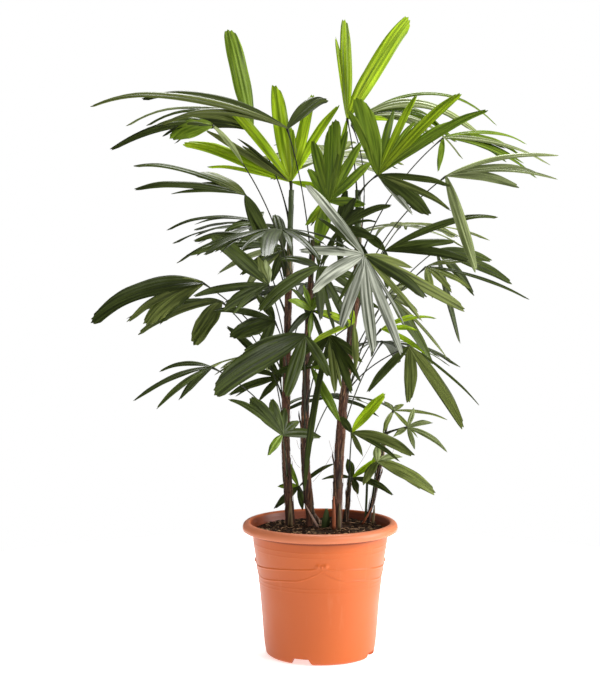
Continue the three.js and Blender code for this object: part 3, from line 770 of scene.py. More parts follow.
for (low_x, low_z), (high_x, high_z) in THREADS:
    low_end, high_end = (low_x, THREAD_PLACE, low_z), (high_x, THREAD_PLACE, high_z)
    path = (1 - t) * low_end + t * high_end - UP * THREAD_SAG * np.sin(np.pi * t)
    tube(threads, STRAND, path, np.full(9, THREAD_RADIUS), 0.35)
shoot_path = bent(*map(np.array, SHOOT_STALK), t)
tube(strips, unit_tube(8, 12), shoot_path, np.full(9, SHOOT_RADIUS), SHOOT)
strip_finish = Finish("dry_strips", Roughness=0.7)
kind = strip_finish.attribute("tone")
colour = paint(104, 86, 56)
for low, high, next_colour in (
    (STRAW, RUST, (150, 80, 46)), (RUST, PALE, (188, 152, 134)), (PALE, SHOOT, (60, 76, 30)),
):
    colour = strip_finish.mix(strip_finish.step(kind, low, high), colour, paint(*next_colour))
grain = strip_finish.noise((420, 420, 40), 3.0) * 1.3 + 0.3
strip_finish.set("Base Color", strip_finish.brighter(colour, grain))
thicken(strips.put("split_strips", strip_finish, "cane_sheath", all_canes), 0.6)
threads.put("loose_threads", strand_finish, "cane_sheath", all_canes)

# %% [markdown]
# ### Crumbs, chips and root fibres
# The soil's top is pushed up and down by noise of two sizes and heaped round each cane's foot.
# The chips are rough lumps squashed flat, and each lies on the surface at its own angle.

# %% The top of the soil
HEAP, HEAP_REACH = 4.0, 17.0
COARSE, CRUMB = 2.2, 1.56
EDGE_REACH = 8.0
CANE_FEET = [places[0] for _, _, _, places in CANES.values()]


def soil_height(x, y):
    """How far the soil stands above its level at a place, in millimetres."""
    near = min(math.hypot(x - foot_x, y - foot_y) for foot_x, foot_y in CANE_FEET)
    coarse = noise.noise(Vector((x / 19, y / 19, 3)))
    fine = noise.noise(Vector((x / 5.5, y / 5.5, 8)))
    fine += 0.5 * noise.noise(Vector((x / 2.6, y / 2.6, 1)))
    edge = min(1, max(0, (SOIL_EDGE - math.hypot(x, y)) / EDGE_REACH))
    return edge * (HEAP * math.exp(-(near / HEAP_REACH) ** 2) + COARSE * coarse + CRUMB * fine)


points = points_of(soil_mesh)
for point in points:
    if point[2] > SOIL_TOP - 0.1:
        point[2] += soil_height(point[0], point[1])
move_points(soil_mesh, points)

soil_finish = Finish("potting_mix", Roughness=0.95, Specular_IOR_Level=0.1)
damp = soil_finish.step(soil_finish.noise((260, 260, 260), 5.0, 0.7), 0.4, 0.7)
soil_finish.set("Base Color", soil_finish.mix(damp, paint(30, 19, 12), paint(84, 54, 35)))
soil_finish.bump(soil_finish.noise((600, 600, 600), 4.0, 0.7), 0.0012, 0.8)
put("soil_mix", soil_mesh, soil_finish, ["soil"])

# %% Chips and root fibres
CHIPS, ROOTS = 900, 110
CHIP_REACH, ROOT_REACH, ROOT_END = 99, 92, 97
PALE_IS_RARE = 7
chip_shape = bmesh.new()
bmesh.ops.create_icosphere(chip_shape, subdivisions=1, radius=1)
CHIP = arrays_of(chip_shape)
chips, roots = Bundle(), Bundle()
chance = random.Random(17)


def strewn(reach):
    """A random place on the soil, evenly spread within a distance of its middle."""
    far, around = reach * math.sqrt(chance.random()), chance.uniform(0, 2 * math.pi)
    return far * math.cos(around), far * math.sin(around)


for _ in range(CHIPS):
    x, y = strewn(CHIP_REACH)
    size = chance.uniform(0.9, 3.6)
    shape = CHIP[0] * np.array([[chance.uniform(0.75, 1.25)] for _ in CHIP[0]])
    shape = shape * (size * chance.uniform(1, 2), size, size * chance.uniform(0.3, 0.6))
    turn, tilt = chance.uniform(0, 7), chance.uniform(-0.6, 0.6)
    turned_by = np.array(Matrix.Rotation(turn, 3, "Z") @ Matrix.Rotation(tilt, 3, "X"))
    place = (x, y, SOIL_TOP + soil_height(x, y) + size * 0.2)
    chips.add(shape @ turned_by.T + place, CHIP[1], chance.random() ** PALE_IS_RARE)
for _ in range(ROOTS):
    path = [np.array((*strewn(ROOT_REACH), 0.0))]
    way, bend = chance.uniform(0, 7), chance.uniform(-0.9, 0.9)
    for _ in range(8):
        way += bend / 4
        step = chance.uniform(1.4, 3)
        path.append(path[-1] + step * np.array((math.cos(way), math.sin(way), 0)))
    path = [p for p in path if math.hypot(p[0], p[1]) < ROOT_END]
    if len(path) > 3:
        for p in path:
            p[2] = SOIL_TOP + soil_height(p[0], p[1]) + 0.9
        radii = np.linspace(0.6, 0.25, len(path))
        tube(roots, STRAND, np.array(path), radii, 0.4 + 0.6 * chance.random())
chip_finish = Finish("bark_chips", Roughness=0.9, Specular_IOR_Level=0.15)
chip_tone = chip_finish.mix(chip_finish.attribute("tone"), paint(42, 28, 19), paint(168, 134, 98))
chip_grain = chip_finish.noise((300, 300, 90), 3.0) + 0.5
chip_finish.set("Base Color", chip_finish.brighter(chip_tone, chip_grain))
chips.put("soil_chips", chip_finish, "potting_soil", ["soil"], sharp=20)
roots.put("soil_root_fibres", strand_finish, "dry_fibre", ["soil"])

# %% [markdown]
# ## The fronds
# Each frond is a fan: one stalk, and leaflets that spread from its end. The row of its number gives
# the cane, the height where the stalk leaves it, the stalk's end, the way to the tip of a leaflet
# of bearing 0, the roll of the fan, the widest leaflet, the droop, the tint and the leaflets. A
# leaflet is its bearing and its shares of the length and of the width, with a tint where it has
# its own, or a bearing alone, whose sizes then come from its place in the fan and from the seed.
# The rule below repeats that of the solids, so every leaflet lies in its solid and adds pleats,
# ribs and a toothed tip.

# %% The table of fronds
def fan(count, angle):
    return [(i / (count - 1) - 0.5) * angle for i in range(count)]


FRONDS = {
    1: ("B", 600, (-50, -80, 807), (-290, -30, 140), 60, 17, 0.75, "olive", [
        [2, 1, 0.8], [-3, 0.62, 0.8], [6, 0.77, 0.75, "dark"], [101, 0.37, 1.15, "dark"]]),
    2: ("A", 660, (-105, 40, 806), (-170, -10, 100), 75, 29, 0.8, "bright", [
        [50, 0.93, 0.95, "fresh"], [-16, 1.14, 0.5, "dark"], [-8, 0.86, 0.5, "olive"],
        [1, 0.57, 0.55, "olive"]]),
    3: ("A", 590, (-163, -10, 813), (-88, -20, 25), 65, 29, 0.7, "dark", [
        [-16, 0.72, 1, "fresh"], [3, 1, 0.55]]),
    4: ("A", 706, (-45, 22, 728), (-120, 20, 140), 80, 20, 0.2, "bright", [
        [-22, 1.02, 1], [3, 0.97, 0.8], [32, 0.84, 1.2], [41, 0.46, 0.9], [53, 0.79, 0.9],
        [70, 0.8, 0.7], [137, 0.43, 0.55]]),
    5: ("A", 570, (-114, -10, 708), (-170, -15, 80), 45, 20, 0.55, "dark", [
        [6, 1.03, 0.55], [-8, 0.95, 0.6], [-12, 0.63, 0.35], [-3, 0.5, 1], [-138, 0.37, 1]]),
    6: ("A", 540, (-95, 60, 664), (-140, 40, 35), 30, 18, 0.6, "dark", [
        [0, 1.04, 0.5], [4, 0.74, 0.5], [-14, 0.36, 1], [75, 0.4, 0.5]]),
    7: ("A", 500, (-56, 40, 625), (-150, -10, 30), 50, 20, 0.6, "dark", [
        [5, 1, 0.6], [-7, 1.05, 0.6], [2, 0.62, 0.7], [-77, 0.35, 0.7], [75, 0.6, 0.9],
        [-34, 0.5, 0.8], [-110, 0.4, 0.8]]),
    8: ("A", 455, (-79, -60, 576), (-120, -40, 60), 70, 24, 0.35, "dark", [
        [24, 0.87, 1.15], [51, 0.35, 0.6, "olive"], [68, 0.3, 0.6, "pale"], [-22, 0.87, 0.5],
        [-41, 0.57, 0.8]]),
    9: ("A", 420, (-176, -60, 578), (-165, -30, 15), 50, 33, 0.7, "olive", [
        [-1, 1, 1, "dark"], [5, 0.8, 0.7], [-14, 0.7, 0.4], [-26, 0.58, 1]]),
    10: ("A", 380, (-152, 40, 543), (-135, 40, 0), 45, 31, 0.6, "dark", [
        [-6, 0.96, 0.55, "olive"], [10, 1.19, 0.3], [2, 0.7, 0.6], [-61, 0.5, 1, "olive"]]),
    11: ("A", 400, (-70, -20, 518), (-80, -28, 5), 60, 28, 0.5, "dark", [
        [-8, 0.85, 1.1], [20, 1.25, 0.45], [-60, 0.8, 0.6], [70, 0.7, 0.6],
        [150, 0.5, 0.7, "pale"]]),
    12: ("A", 330, (-163, -50, 450), (-118, -25, 0), 40, 13, 0.7, "dark", [
        [-4, 1, 0.85], [-22, 0.8, 0.75], [-34, 0.55, 0.85], [25, 0.7, 0.7]]),
    13: ("A", 300, (-62, 46, 424), (-100, 35, 60), 60, 13, 0.5, "dark", [
        [-38, 0.66, 0.95], [19, 1.18, 1], [24, 0.6, 0.85], [65, 0.5, 0.9], [-75, 0.35, 0.9]]),
    14: ("A", 262, (-58, -45, 347), (-85, -30, 55), 65, 21, 0.45, "dark", [
        [14, 1.08, 0.5], [26, 0.8, 1.1], [50, 0.6, 0.9], [-70, 0.35, 0.6, "fresh"], [75, 0.5, 0.6],
        [108, 0.45, 0.6], [140, 0.7, 0.8]]),
    15: ("B", 430, (-3, -30, 600), (-88, -60, -34), 60, 18, 0.5, "dark", [
        [0, 1, 1.1], [50, 0.6, 0.8], [-60, 0.7, 0.9], [-90, 0.8, 0.8], [-130, 0.8, 0.8]]),
    16: ("C", 430, (60, -190, 626), (12, -75, -150), 0, 18.5, 0.25, "silvery", [
        [150, 0.87, 0.85], [102, 0.56, 0.8], [64, 0.52, 1.1], [23, 0.64, 0.95], [-1, 0.83, 0.95],
        [-17, 0.87, 0.85], [-65, 0.93, 1, "olive"], [-81, 0.42, 0.7, "olive"]]),
    17: ("C", 470, (99, 6, 623), (150, 0, 60), -70, 26, 0.35, "dark", [
        [-12, 0.68, 1], [-6, 1.2, 0.47], [5, 0.69, 0.6], [19, 0.8, 0.55], [-112, 0.32, 0.55],
        [109, 0.34, 0.55]]),
    18: ("C", 440, (182, 80, 621), (115, 20, -50), -70, 16, 0.3, "dark", [
        [-10, 1.02, 1], [22, 0.66, 0.9], [57, 1.13, 0.7], [-22, 0.74, 0.9]]),
    19: ("C", 410, (160, -20, 600), (155, -15, -10), -40, 14, 0.42, "olive", [
        [3, 1, 0.5, "dark"], [14, 0.45, 0.9], [75, 0.35, 0.9], [-30, 0.6, 0.8], [40, 0.35, 0.8]]),
    20: ("C", 550, (186, -60, 737), (168, -20, 55), -60, 15, 0.5, "pale", [
        [-6, 1.02, 0.6], [0, 0.78, 0.8], [6, 0.95, 0.6], [13, 0.62, 1], [86, 0.82, 1.15]]),
    21: ("C", 600, (190, 60, 795), (168, 20, 20), -50, 14, 0.7, "fresh", [
        [1, 1, 0.8, "pale"], [-4, 0.73, 1], [8, 0.58, 0.9], [12, 0.85, 0.6], [-14, 0.85, 0.6],
        [110, 0.3, 0.7]]),
    22: ("C", 690, (42, 70, 825), (124, 20, 138), -80, 26.5, 0.15, "bright", [
        [-43, 0.85, 0.7], [-12, 1.05, 1], [-18, 0.57, 0.53], [44, 0.37, 0.3]]),
    23: ("C", 704, (86, -40, 739), (150, -20, 110), -75, 30, 0.3, "bright", [
        [-69, 0.72, 1, "fresh"], [-32, 0.77, 0.4], [-24, 0.58, 0.3, "fresh"], [-14, 1, 0.6],
        [-2, 1.1, 0.45, "fresh"], [52, 0.63, 0.35, "olive"], [67, 0.5, 0.75, "dark"],
        [78, 0.4, 0.35, "silvery"]]),
    24: ("B", 560, (13, -30, 699), (60, -10, 120), -70, 30, 0.3, "fresh", [
        [-60, 0.52, 0.6], [-27, 0.95, 1.15, "fresh"], [-1, 0.83, 0.47], [17, 0.72, 0.5],
        [60, 0.45, 0.5], [-156, 0.36, 0.55, "bright"]]),
    25: ("B", 500, (26, -50, 655), (60, -40, 60), -70, 19, 0.5, "dark", [
        [-30, 0.7, 0.8], [-9, 0.7, 0.8], [6, 1.25, 0.6], [32, 0.8, 0.9], [110, 0.6, 0.8],
        [160, 0.6, 0.8]]),
    26: ("C", 400, (132, -90, 486), (80, -40, -90), -75, 19, 0.5, "olive", [
        [1, 1, 1], [-19, 0.95, 0.2, "dark"], [41, 0.63, 1.1], [94, 0.64, 0.7, "dark"]]),
    27: ("C", 380, (92, -26, 506), (65, -10, 25), -60, 11, 0.4, "bright", [
        [-4, 1.3, 0.55], [40, 1.1, 0.7], [-14, 0.85, 0.6], [8, 0.8, 0.9]]),
    28: ("C", 350, (104, 44, 553), (85, 20, -70), -65, 25, 0.5, "olive", [
        [13, 1, 1, "dark"], [-1, 1.1, 0.25], [-29, 0.5, 0.45], [-70, 0.5, 0.5]]),
    29: ("B", 440, (50, -45, 516), (-75, -60, -10), 55, 12, 0.3, "bright", [
        [0, 1, 0.75], [40, 0.7, 1], [-60, 0.8, 0.9, "olive"], [110, 0.35, 0.8]]),
    30: ("D", 256, (48, -20, 347), (85, -15, 40), -60, 17, 0.5, "olive", [
        [-35, 0.95, 1.1, "bright"], [30, 1.08, 1, "olive"], [80, 0.4, 0.5],
        [-100, 0.38, 0.7, "dark"]]),
    31: ("E", 325, (115, 60, 370), (85, 20, 10), -40, 10, 0.5, "olive", [
        [3, 1, 0.8], [-40, 0.35, 1], [-100, 0.35, 1], [60, 0.6, 0.8], [130, 0.5, 0.8]]),
    32: ("E", 337, (135, 16, 350), (65, -10, 10), -60, 10, 0.5, "pale", [
        [-20, 0.65, 0.9], [25, 1, 0.9], [165, 0.35, 1], [75, 0.5, 0.8], [-70, 0.6, 0.8]]),
    33: ("E", 235, (88, 5, 298), (88, -15, -10), -60, 21, 0.6, "pale", [
        [5, 1.03, 1, "olive"], [-6, 0.48, 0.7], [120, 0.4, 0.7, "olive"], [-40, 0.5, 0.5],
        [-100, 0.4, 0.6]]),
    34: ("D", 262, (51, 46, 266), (65, -10, 20), -60, 14, 0.5, "dark", [
        [-88, 0.6, 1], [26, 1.08, 0.75], [-150, 0.77, 0.5], [80, 0.35, 0.8],
        [-30, 0.95, 0.85, "bright"]]),
    35: ("B", 225, (-33, 60, 250), (-45, 20, 30), 60, 13, 0.4, "dark", [
        [30, 1.3, 0.8, "fresh"], [-22, 0.6, 0.8, "fresh"], [-72, 0.8, 1], [100, 1.3, 0.5],
        [-140, 0.6, 0.8]]),
    36: ("B", 360, (14, -60, 500), (-8, -45, -190), 0, 16, 0.3, "dark", [
        [8, 1.12, 0.65], [-8, 0.44, 0.8, "olive"], [-25, 0.45, 0.9], [-58, 0.3, 0.75],
        [40, 0.4, 0.7]]),
    37: ("B", 330, (-24, -120, 505), (-140, -60, -35), 70, 36, 0.3, "dark", [
        [-6, 1, 1], [-51, 0.58, 0.56], [-106, 0.41, 0.44], [9, 0.62, 0.48]]),
    38: ("C", 640, (15, 150, 765), (-25, 150, 60), 0, 26, 0.4, "olive", fan(6, 220)),
    39: ("A", 520, (-95, 150, 655), (-75, 140, 30), 0, 25, 0.5, "shade", fan(6, 200)),
    40: ("C", 500, (130, 170, 655), (45, 150, 25), 0, 22, 0.5, "olive", fan(6, 190)),
    41: ("B", 400, (-20, 180, 560), (-15, 160, 10), 0, 26, 0.6, "shade", fan(6, 210)),
    42: ("A", 330, (-80, 135, 450), (-40, 120, 5), 0, 22, 0.6, "olive", fan(6, 190)),
    43: ("C", 320, (100, 140, 470), (80, 125, 5), 0, 21, 0.6, "shade", fan(6, 190)),
    44: ("B", 290, (20, 140, 380), (15, 120, 20), 0, 20, 0.6, "shade", fan(5, 200)),
    45: ("B", 520, (-60, -150, 660), (-70, -140, 10), 0, 24, 0.6, "shade", fan(6, 180)),
    46: ("C", 640, (50, 105, 816), (200, -40, 125), -45, 20, 1.5, "fresh", [
        [0, 1, 1, "pale"], [-10, 1.2, 0.4], [-7, 0.76, 0.65], [10, 0.85, 0.6, "pale"]]),
    47: ("B", 445, (-13, -50, 535), (-40, -20, 35), 70, 12, 0.5, "fresh", [
        [0, 0.9, 1], [40, 0.8, 0.9], [80, 0.55, 1], [-110, 0.7, 0.8]]),
    48: ("B", 320, (-14, -48, 450), (42, -15, -72), -75, 14, 0.3, "fresh", [
        [0, 1, 1], [-60, 0.6, 0.7], [75, 0.7, 0.7, "dark"]]),
}

# %% [markdown]
# ### Slim leaflets
# A few slim or short leaflets are too small for the solids. They grow from the same fans by the
# same rule, and stay within the reach of their frond.

# %% The table of slim leaflets
SLIM = {
    1: [[0.5, 0.8, 0.35, "pale"], [-1, 0.7, 0.4, "dark"]],
    3: [[-150, 0.66, 0.35, "pale"]],
    4: [[-14, 0.87, 0.55, "olive"], [-9, 0.54, 0.4, "olive"]],
    5: [[14, 0.5, 1.2, "olive"], [-126, 0.36, 0.9, "dark"]],
    7: [[-50, 0.55, 0.7, "olive"], [-20, 0.7, 0.5, "pale"]],
    13: [[-10, 0.8, 0.8, "dark"], [100, 0.5, 0.8, "dark"]],
    15: [[-150, 0.9, 0.7, "dark"], [120, 0.7, 0.6, "shade"], [-75, 0.9, 0.5, "shade"]],
    16: [[-40, 0.7, 0.5, "olive"], [-57, 0.6, 0.9, "dark"]],
    21: [[4, 0.75, 1.1, "fresh"], [-8, 0.6, 1.1, "pale"]],
    22: [[150, 0.64, 0.42, "bright"]],
    23: [
        [-19, 0.75, 0.35, "fresh"], [-8, 0.8, 0.35, "fresh"], [-45, 0.6, 0.4, "fresh"],
        [35, 0.6, 0.35, "dark"],
    ],
    24: [[165, 0.46, 0.8, "fresh"], [-14, 0.9, 0.5, "fresh"], [-44, 0.8, 0.6, "fresh"]],
    25: [[-50, 0.8, 0.8, "dark"], [60, 0.9, 0.7, "shade"]],
    36: [[60, 0.35, 0.7, "dark"], [-40, 0.4, 0.7, "shade"]],
    46: [[-4, 0.8, 0.8, "fresh"], [4, 0.66, 0.7, "pale"]],
    47: [
        [-60, 1.1, 0.9, "shade"], [150, 1.1, 0.9, "dark"], [-150, 1.1, 0.8, "shade"],
        [20, 1, 0.7, "dark"],
    ],
    48: [[120, 0.7, 0.8, "shade"], [-100, 0.7, 0.8, "dark"]],
}

# %% [markdown]
# ### The rule of a fan
# The same seeded draws as in the solids give each leaflet its bearing, length, width, twist and
# droop. A leaflet that had no room was lifted, dipped or shortened, and a stalk was shifted or
# bowed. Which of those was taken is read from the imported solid: the right choice is the first
# whose end corners are corners of the solid.

# %% Plans of leaflets
FIRST_SEED, SEED_STEP = 1000, 37
RANDOM_FACTOR, RANDOM_RANGE = 16807, 2147483647
SIDE_SHORTER, SIDE_NARROWER = 0.3, 0.35
# How far chance changes a bearing, a length, a width, a twist and a droop, in the order drawn
SPREADS, OWN_SPREADS = (6.0, 0.2, 0.3, 50.0, 0.4), (0, 0, 0, 50.0, 0)


def draws(seed):
    state = seed
    while True:
        state = state * RANDOM_FACTOR % RANDOM_RANGE
        yield state / RANDOM_RANGE


def fan_axes(reach, roll):
    """The fan's middle, the side that its bearings turn to, and its upper face."""
    middle = unit(np.array(reach, float))
    level = unit(np.cross(middle, UP))
    above = np.cross(level, middle)
    side = level * math.cos(math.radians(roll)) + above * math.sin(math.radians(roll))
    return middle, side, np.cross(side, middle)


def leaflet_plans(row, seed):
    """The place, way, size and tint of each leaflet of a fan."""
    _, _, hub, reach, roll, width, droop, tint, leaflets = row
    source = draws(seed)
    next(source)
    middle, side, normal = fan_axes(reach, roll)
    bearings = [entry[0] if isinstance(entry, list) else entry for entry in leaflets]
    outermost = max(map(abs, bearings))
    plans = []
    for entry, degrees in zip(leaflets, bearings):
        if isinstance(entry, list):
            _, share, wide, *own_tint = entry
            spreads = OWN_SPREADS
        else:
            place = degrees / outermost
            share, wide = 1 - SIDE_SHORTER * place ** 2, 1 - SIDE_NARROWER * abs(place)
            own_tint, spreads = [], SPREADS
        turn, longer, wider, twist, lower = (by * (next(source) - 0.5) for by in spreads)
        bearing = math.radians(degrees + turn)
        plans.append({
            "hub": np.array(hub, float),
            "direction": middle * math.cos(bearing) + side * math.sin(bearing),
            "normal": normal,
            "length": np.linalg.norm(reach) * share * (1 + longer),
            "width": width * wide * (1 + wider),
            "twist": math.radians(twist),
            "droop": droop * (1 + lower),
            "tint": own_tint[0] if own_tint else tint,
        })
    return plans


# %% The line of a leaflet and of a stalk
def turned_about(vectors, axes, angles):
    """Each vector turned about its axis by its angle."""
    cosine, sine = np.cos(angles)[:, None], np.sin(angles)[:, None]
    along = np.sum(vectors * axes, axis=1, keepdims=True)
    return vectors * cosine + np.cross(axes, vectors) * sine + axes * along * (1 - cosine)


def leaflet_line(plan, t, lift=0.0, part=1.0):
    """The middle, the way across and the upper side of a leaflet, at each part t of its length."""
    raised = math.radians(lift)
    direction = plan["direction"] * math.cos(raised) + plan["normal"] * math.sin(raised)
    across = unit(np.cross(direction, plan["normal"]))
    length = plan["length"] * part
    fall = plan["droop"] * math.hypot(direction[0], direction[1])
    t = np.asarray(t, float)
    middle = plan["hub"] + direction * (length * t)[:, None]
    middle -= UP * (length * fall * t * t / 2)[:, None]
    along = unit(direction - UP * (fall * t)[:, None])
    wide = turned_about(np.broadcast_to(across, along.shape), along, plan["twist"] * t)
    return middle, wide, unit(np.cross(wide, along))


def stalk_line(row, t, shift=0.0, bow=0.0):
    """The middle, the way across and the upper side of a stalk at each part t of its length."""
    letter, height, hub = row[:3]
    start, hub = cane_middle(CANES[letter], height + shift), np.array(hub, float)
    level = np.array((hub[0] - start[0], hub[1] - start[1], 0))
    across = unit(np.cross(level, UP))
    bend = start + level * STALK_BEND_AT + across * bow + UP * STALK_BEND_RISE * (hub[2] - start[2])
    t = np.asarray(t, float)[:, None]
    ahead = unit((bend - start) * (1 - t) + (hub - bend) * t)
    wide = np.broadcast_to(across, ahead.shape)
    return bent(start, bend, hub, t), wide, unit(np.cross(across, ahead))


# %% The choice that the solids took
STALK_BEND_AT, STALK_BEND_RISE = 0.3, 0.62
STALK_SHIFTS = (0, -18, 18, -36, 36, -60, 60)
STALK_BOWS = (0, 12, -12, 26, -26, 42, -42)
STALK_RADII = (2.7, 2.1)
LEAFLET_REACHES = (1, 0.85, 0.7, 0.5)
LEAFLET_LIFTS = (0, 4, -4, 8, -8, 13, -13, 18, -18)
END_WIDTH, END_DEPTH, LEAFLET_THINNESS = 0.42, 0.6, 75
STALK_TEST = 0.8
NEAR = 0.08


def corner_tree(node):
    corners = points_of(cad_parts[node].data)
    tree = KDTree(len(corners))
    for i, corner in enumerate(corners):
        tree.insert(corner, i)
    tree.balance()
    return tree


def is_there(tree, corners):
    return all(tree.find(corner)[2] < NEAR for corner in corners)


def leaflet_choice(plan, tree):
    """The reach and lift that the solid took, or None where no leaflet grew."""
    depth = plan["length"] / LEAFLET_THINNESS * END_DEPTH
    for part in LEAFLET_REACHES:
        for lift in LEAFLET_LIFTS:
            middle, wide, deep = (line[0] for line in leaflet_line(plan, [1], lift, part))
            edge, above = wide * plan["width"] * END_WIDTH / 2, middle + deep * depth / 2
            if is_there(tree, (above + edge, above - edge)):
                return {"lift": lift, "part": part}
    return None


def stalk_choice(row, tree):
    """The shift and bow that the solid took."""
    size = np.interp(STALK_TEST, (0, 1), STALK_RADII) * math.sqrt(0.5)
    for shift in STALK_SHIFTS:
        for bow in STALK_BOWS:
            middle, wide, deep = (line[0] for line in stalk_line(row, [STALK_TEST], shift, bow))
            corner = (wide + deep) * size
            if is_there(tree, (middle + corner, middle - corner)):
                return {"shift": shift, "bow": bow}
    return {"shift": 0, "bow": 0}


# %% [markdown]
# ### One leaflet
# A leaflet is a strip folded into a few pleats, narrow at its root and cut off at a slant at its
# tip, where each rib ends in a small tooth. Broad leaflets end blunt and slim ones in a point. It
# starts as a flat grid. The grid's columns are lifted into pleats, its edge is drawn in by a width
# curve, and the whole is bent along the leaflet's line. A Solidify modifier gives the finished
# sheet its thickness. The map of a leaflet counts its pleats across, so that the colour of a rib
# always lies on a fold.

# %% Shaping a leaflet
BLADE, SLIM_BLADE = unit_blade(14, 20), unit_blade(8, 16)
PLEAT_WIDTH, PLEAT_SHARE = 7.0, 0.13
SLANT, TIP_ROUNDING, TOOTH = 0.6, 0.42, 2.0
BROADEST, ROOT_WIDTH = 0.46, 0.14
BLUNT_BY_WIDTH = ((8, 20, 34), (0.3, 0.7, 0.88))
CAMBER, TROUGH, TROUGH_END = 0.10, 0.3, 0.35
SIDE_BOW, WAVE, CURL, CURL_FROM = 0.02, 0.035, 0.05, 0.7


def width_along(t, blunt):
    """The share of the full width at each part of the length: narrow root, broad middle."""
    rise = ROOT_WIDTH + (1 - ROOT_WIDTH) * np.sin(np.pi / 2 * np.clip(t / BROADEST, 0, 1)) ** 0.8
    fall = 1 - (1 - blunt) * np.clip((t - BROADEST) / (1 - BROADEST), 0, 1) ** 3.0
    return rise * fall


def pleats_of(plan):
    return max(2, round(plan["width"] / PLEAT_WIDTH))


def leaflet_points(blade, plan, chance, lift=0.0, part=1.0):
    """The unit blade carried along a leaflet's line, in millimetres."""
    s, t = blade[:, 0], blade[:, 1]
    length, width = plan["length"] * part, plan["width"]
    lean = chance.choice((-1, 1))
    pleats = pleats_of(plan)
    column = np.abs((pleats * (s + 1) / 2) % 1 - 0.5) * 2
    cut = SLANT * width / length * chance.uniform(0.5, 1.2)
    teeth = TOOTH / length * min(1, length / 100) * column * 2
    back = cut * ((1 + lean * s) / 2) ** 1.4 + TIP_ROUNDING * width / length * np.abs(s) ** 3
    reach = (t - back * t ** 2.5 - teeth * t ** 6) / (1 - back - teeth).max()
    middle, wide, deep = leaflet_line(plan, reach, lift, part)
    half = width / 2 * width_along(t, np.interp(width, *BLUNT_BY_WIDTH))
    bow = length * SIDE_BOW * chance.uniform(-1, 1) * np.sin(np.pi * t)
    waves = np.sin(2 * np.pi * (chance.uniform(1.2, 2.4) * t + chance.random()))
    fold = PLEAT_SHARE * (2 * half / pleats) * (1 - column)
    trough = TROUGH * half * np.abs(s) * np.clip(1 - t / TROUGH_END, 0, 1)
    height = fold - CAMBER * half * s * s + WAVE * width * waves * s * np.abs(s) + trough
    height += 0.5 * length / LEAFLET_THINNESS
    late = np.clip(t - CURL_FROM, 0, 1) / (1 - CURL_FROM)
    curl = length * CURL * chance.random() * late ** 2
    return middle + wide * (half * s + bow)[:, None] + deep * height[:, None] - UP * curl[:, None]


# %% [markdown]
# ### Growing the fans
# Every leaflet goes into the bundle of its tint. Some broad leaflets have split along a fold, and
# the split-off part lies beside them. Even fans, which face the back and fill the inside, also get
# a slimmer leaflet between each two, as the finest division of the leaf. The stalks are thin and
# round, and each widens into a clasping base where it leaves its cane. The shoot between the canes
# ends in one young leaflet.

# %% Leaflets and stalks
GROWTH_SEED = 500
FILL_LENGTH, FILL_WIDTH = 0.82, 0.55
SPLIT_WIDTH, SPLIT_SHARE, SPLIT_BEARING = 11.0, 0.4, (5, 11)
SPLIT_LENGTHS, SPLIT_WIDTHS = (0.62, 0.92), (0.3, 0.5)
SLIM_LIFT = 5.0
STALK, STALK_STEPS = unit_tube(8, 24), np.linspace(0, 1, 25)
STALK_THIN, CLASP, CLASP_REACH, HUB_SWELL, HUB_LENGTH = 0.95, 2.4, 16.0, 1.2, 9.0
SHOOT_REACH, SHOOT_ROLL, SHOOT_WIDTH, SHOOT_DROOP = (27.0, -5.0, 63.0), -75, 15.0, 0.1


def grow(bundle, shape, plan, choice, tone=None):
    """Adds one leaflet, with a map that counts its pleats across."""
    blade, faces = shape
    points = leaflet_points(blade, plan, chance, **choice)
    place = blade[:, :2] * (pleats_of(plan) / 2, 1)
    bundle.add(points, faces, chance.random() if tone is None else tone, place)


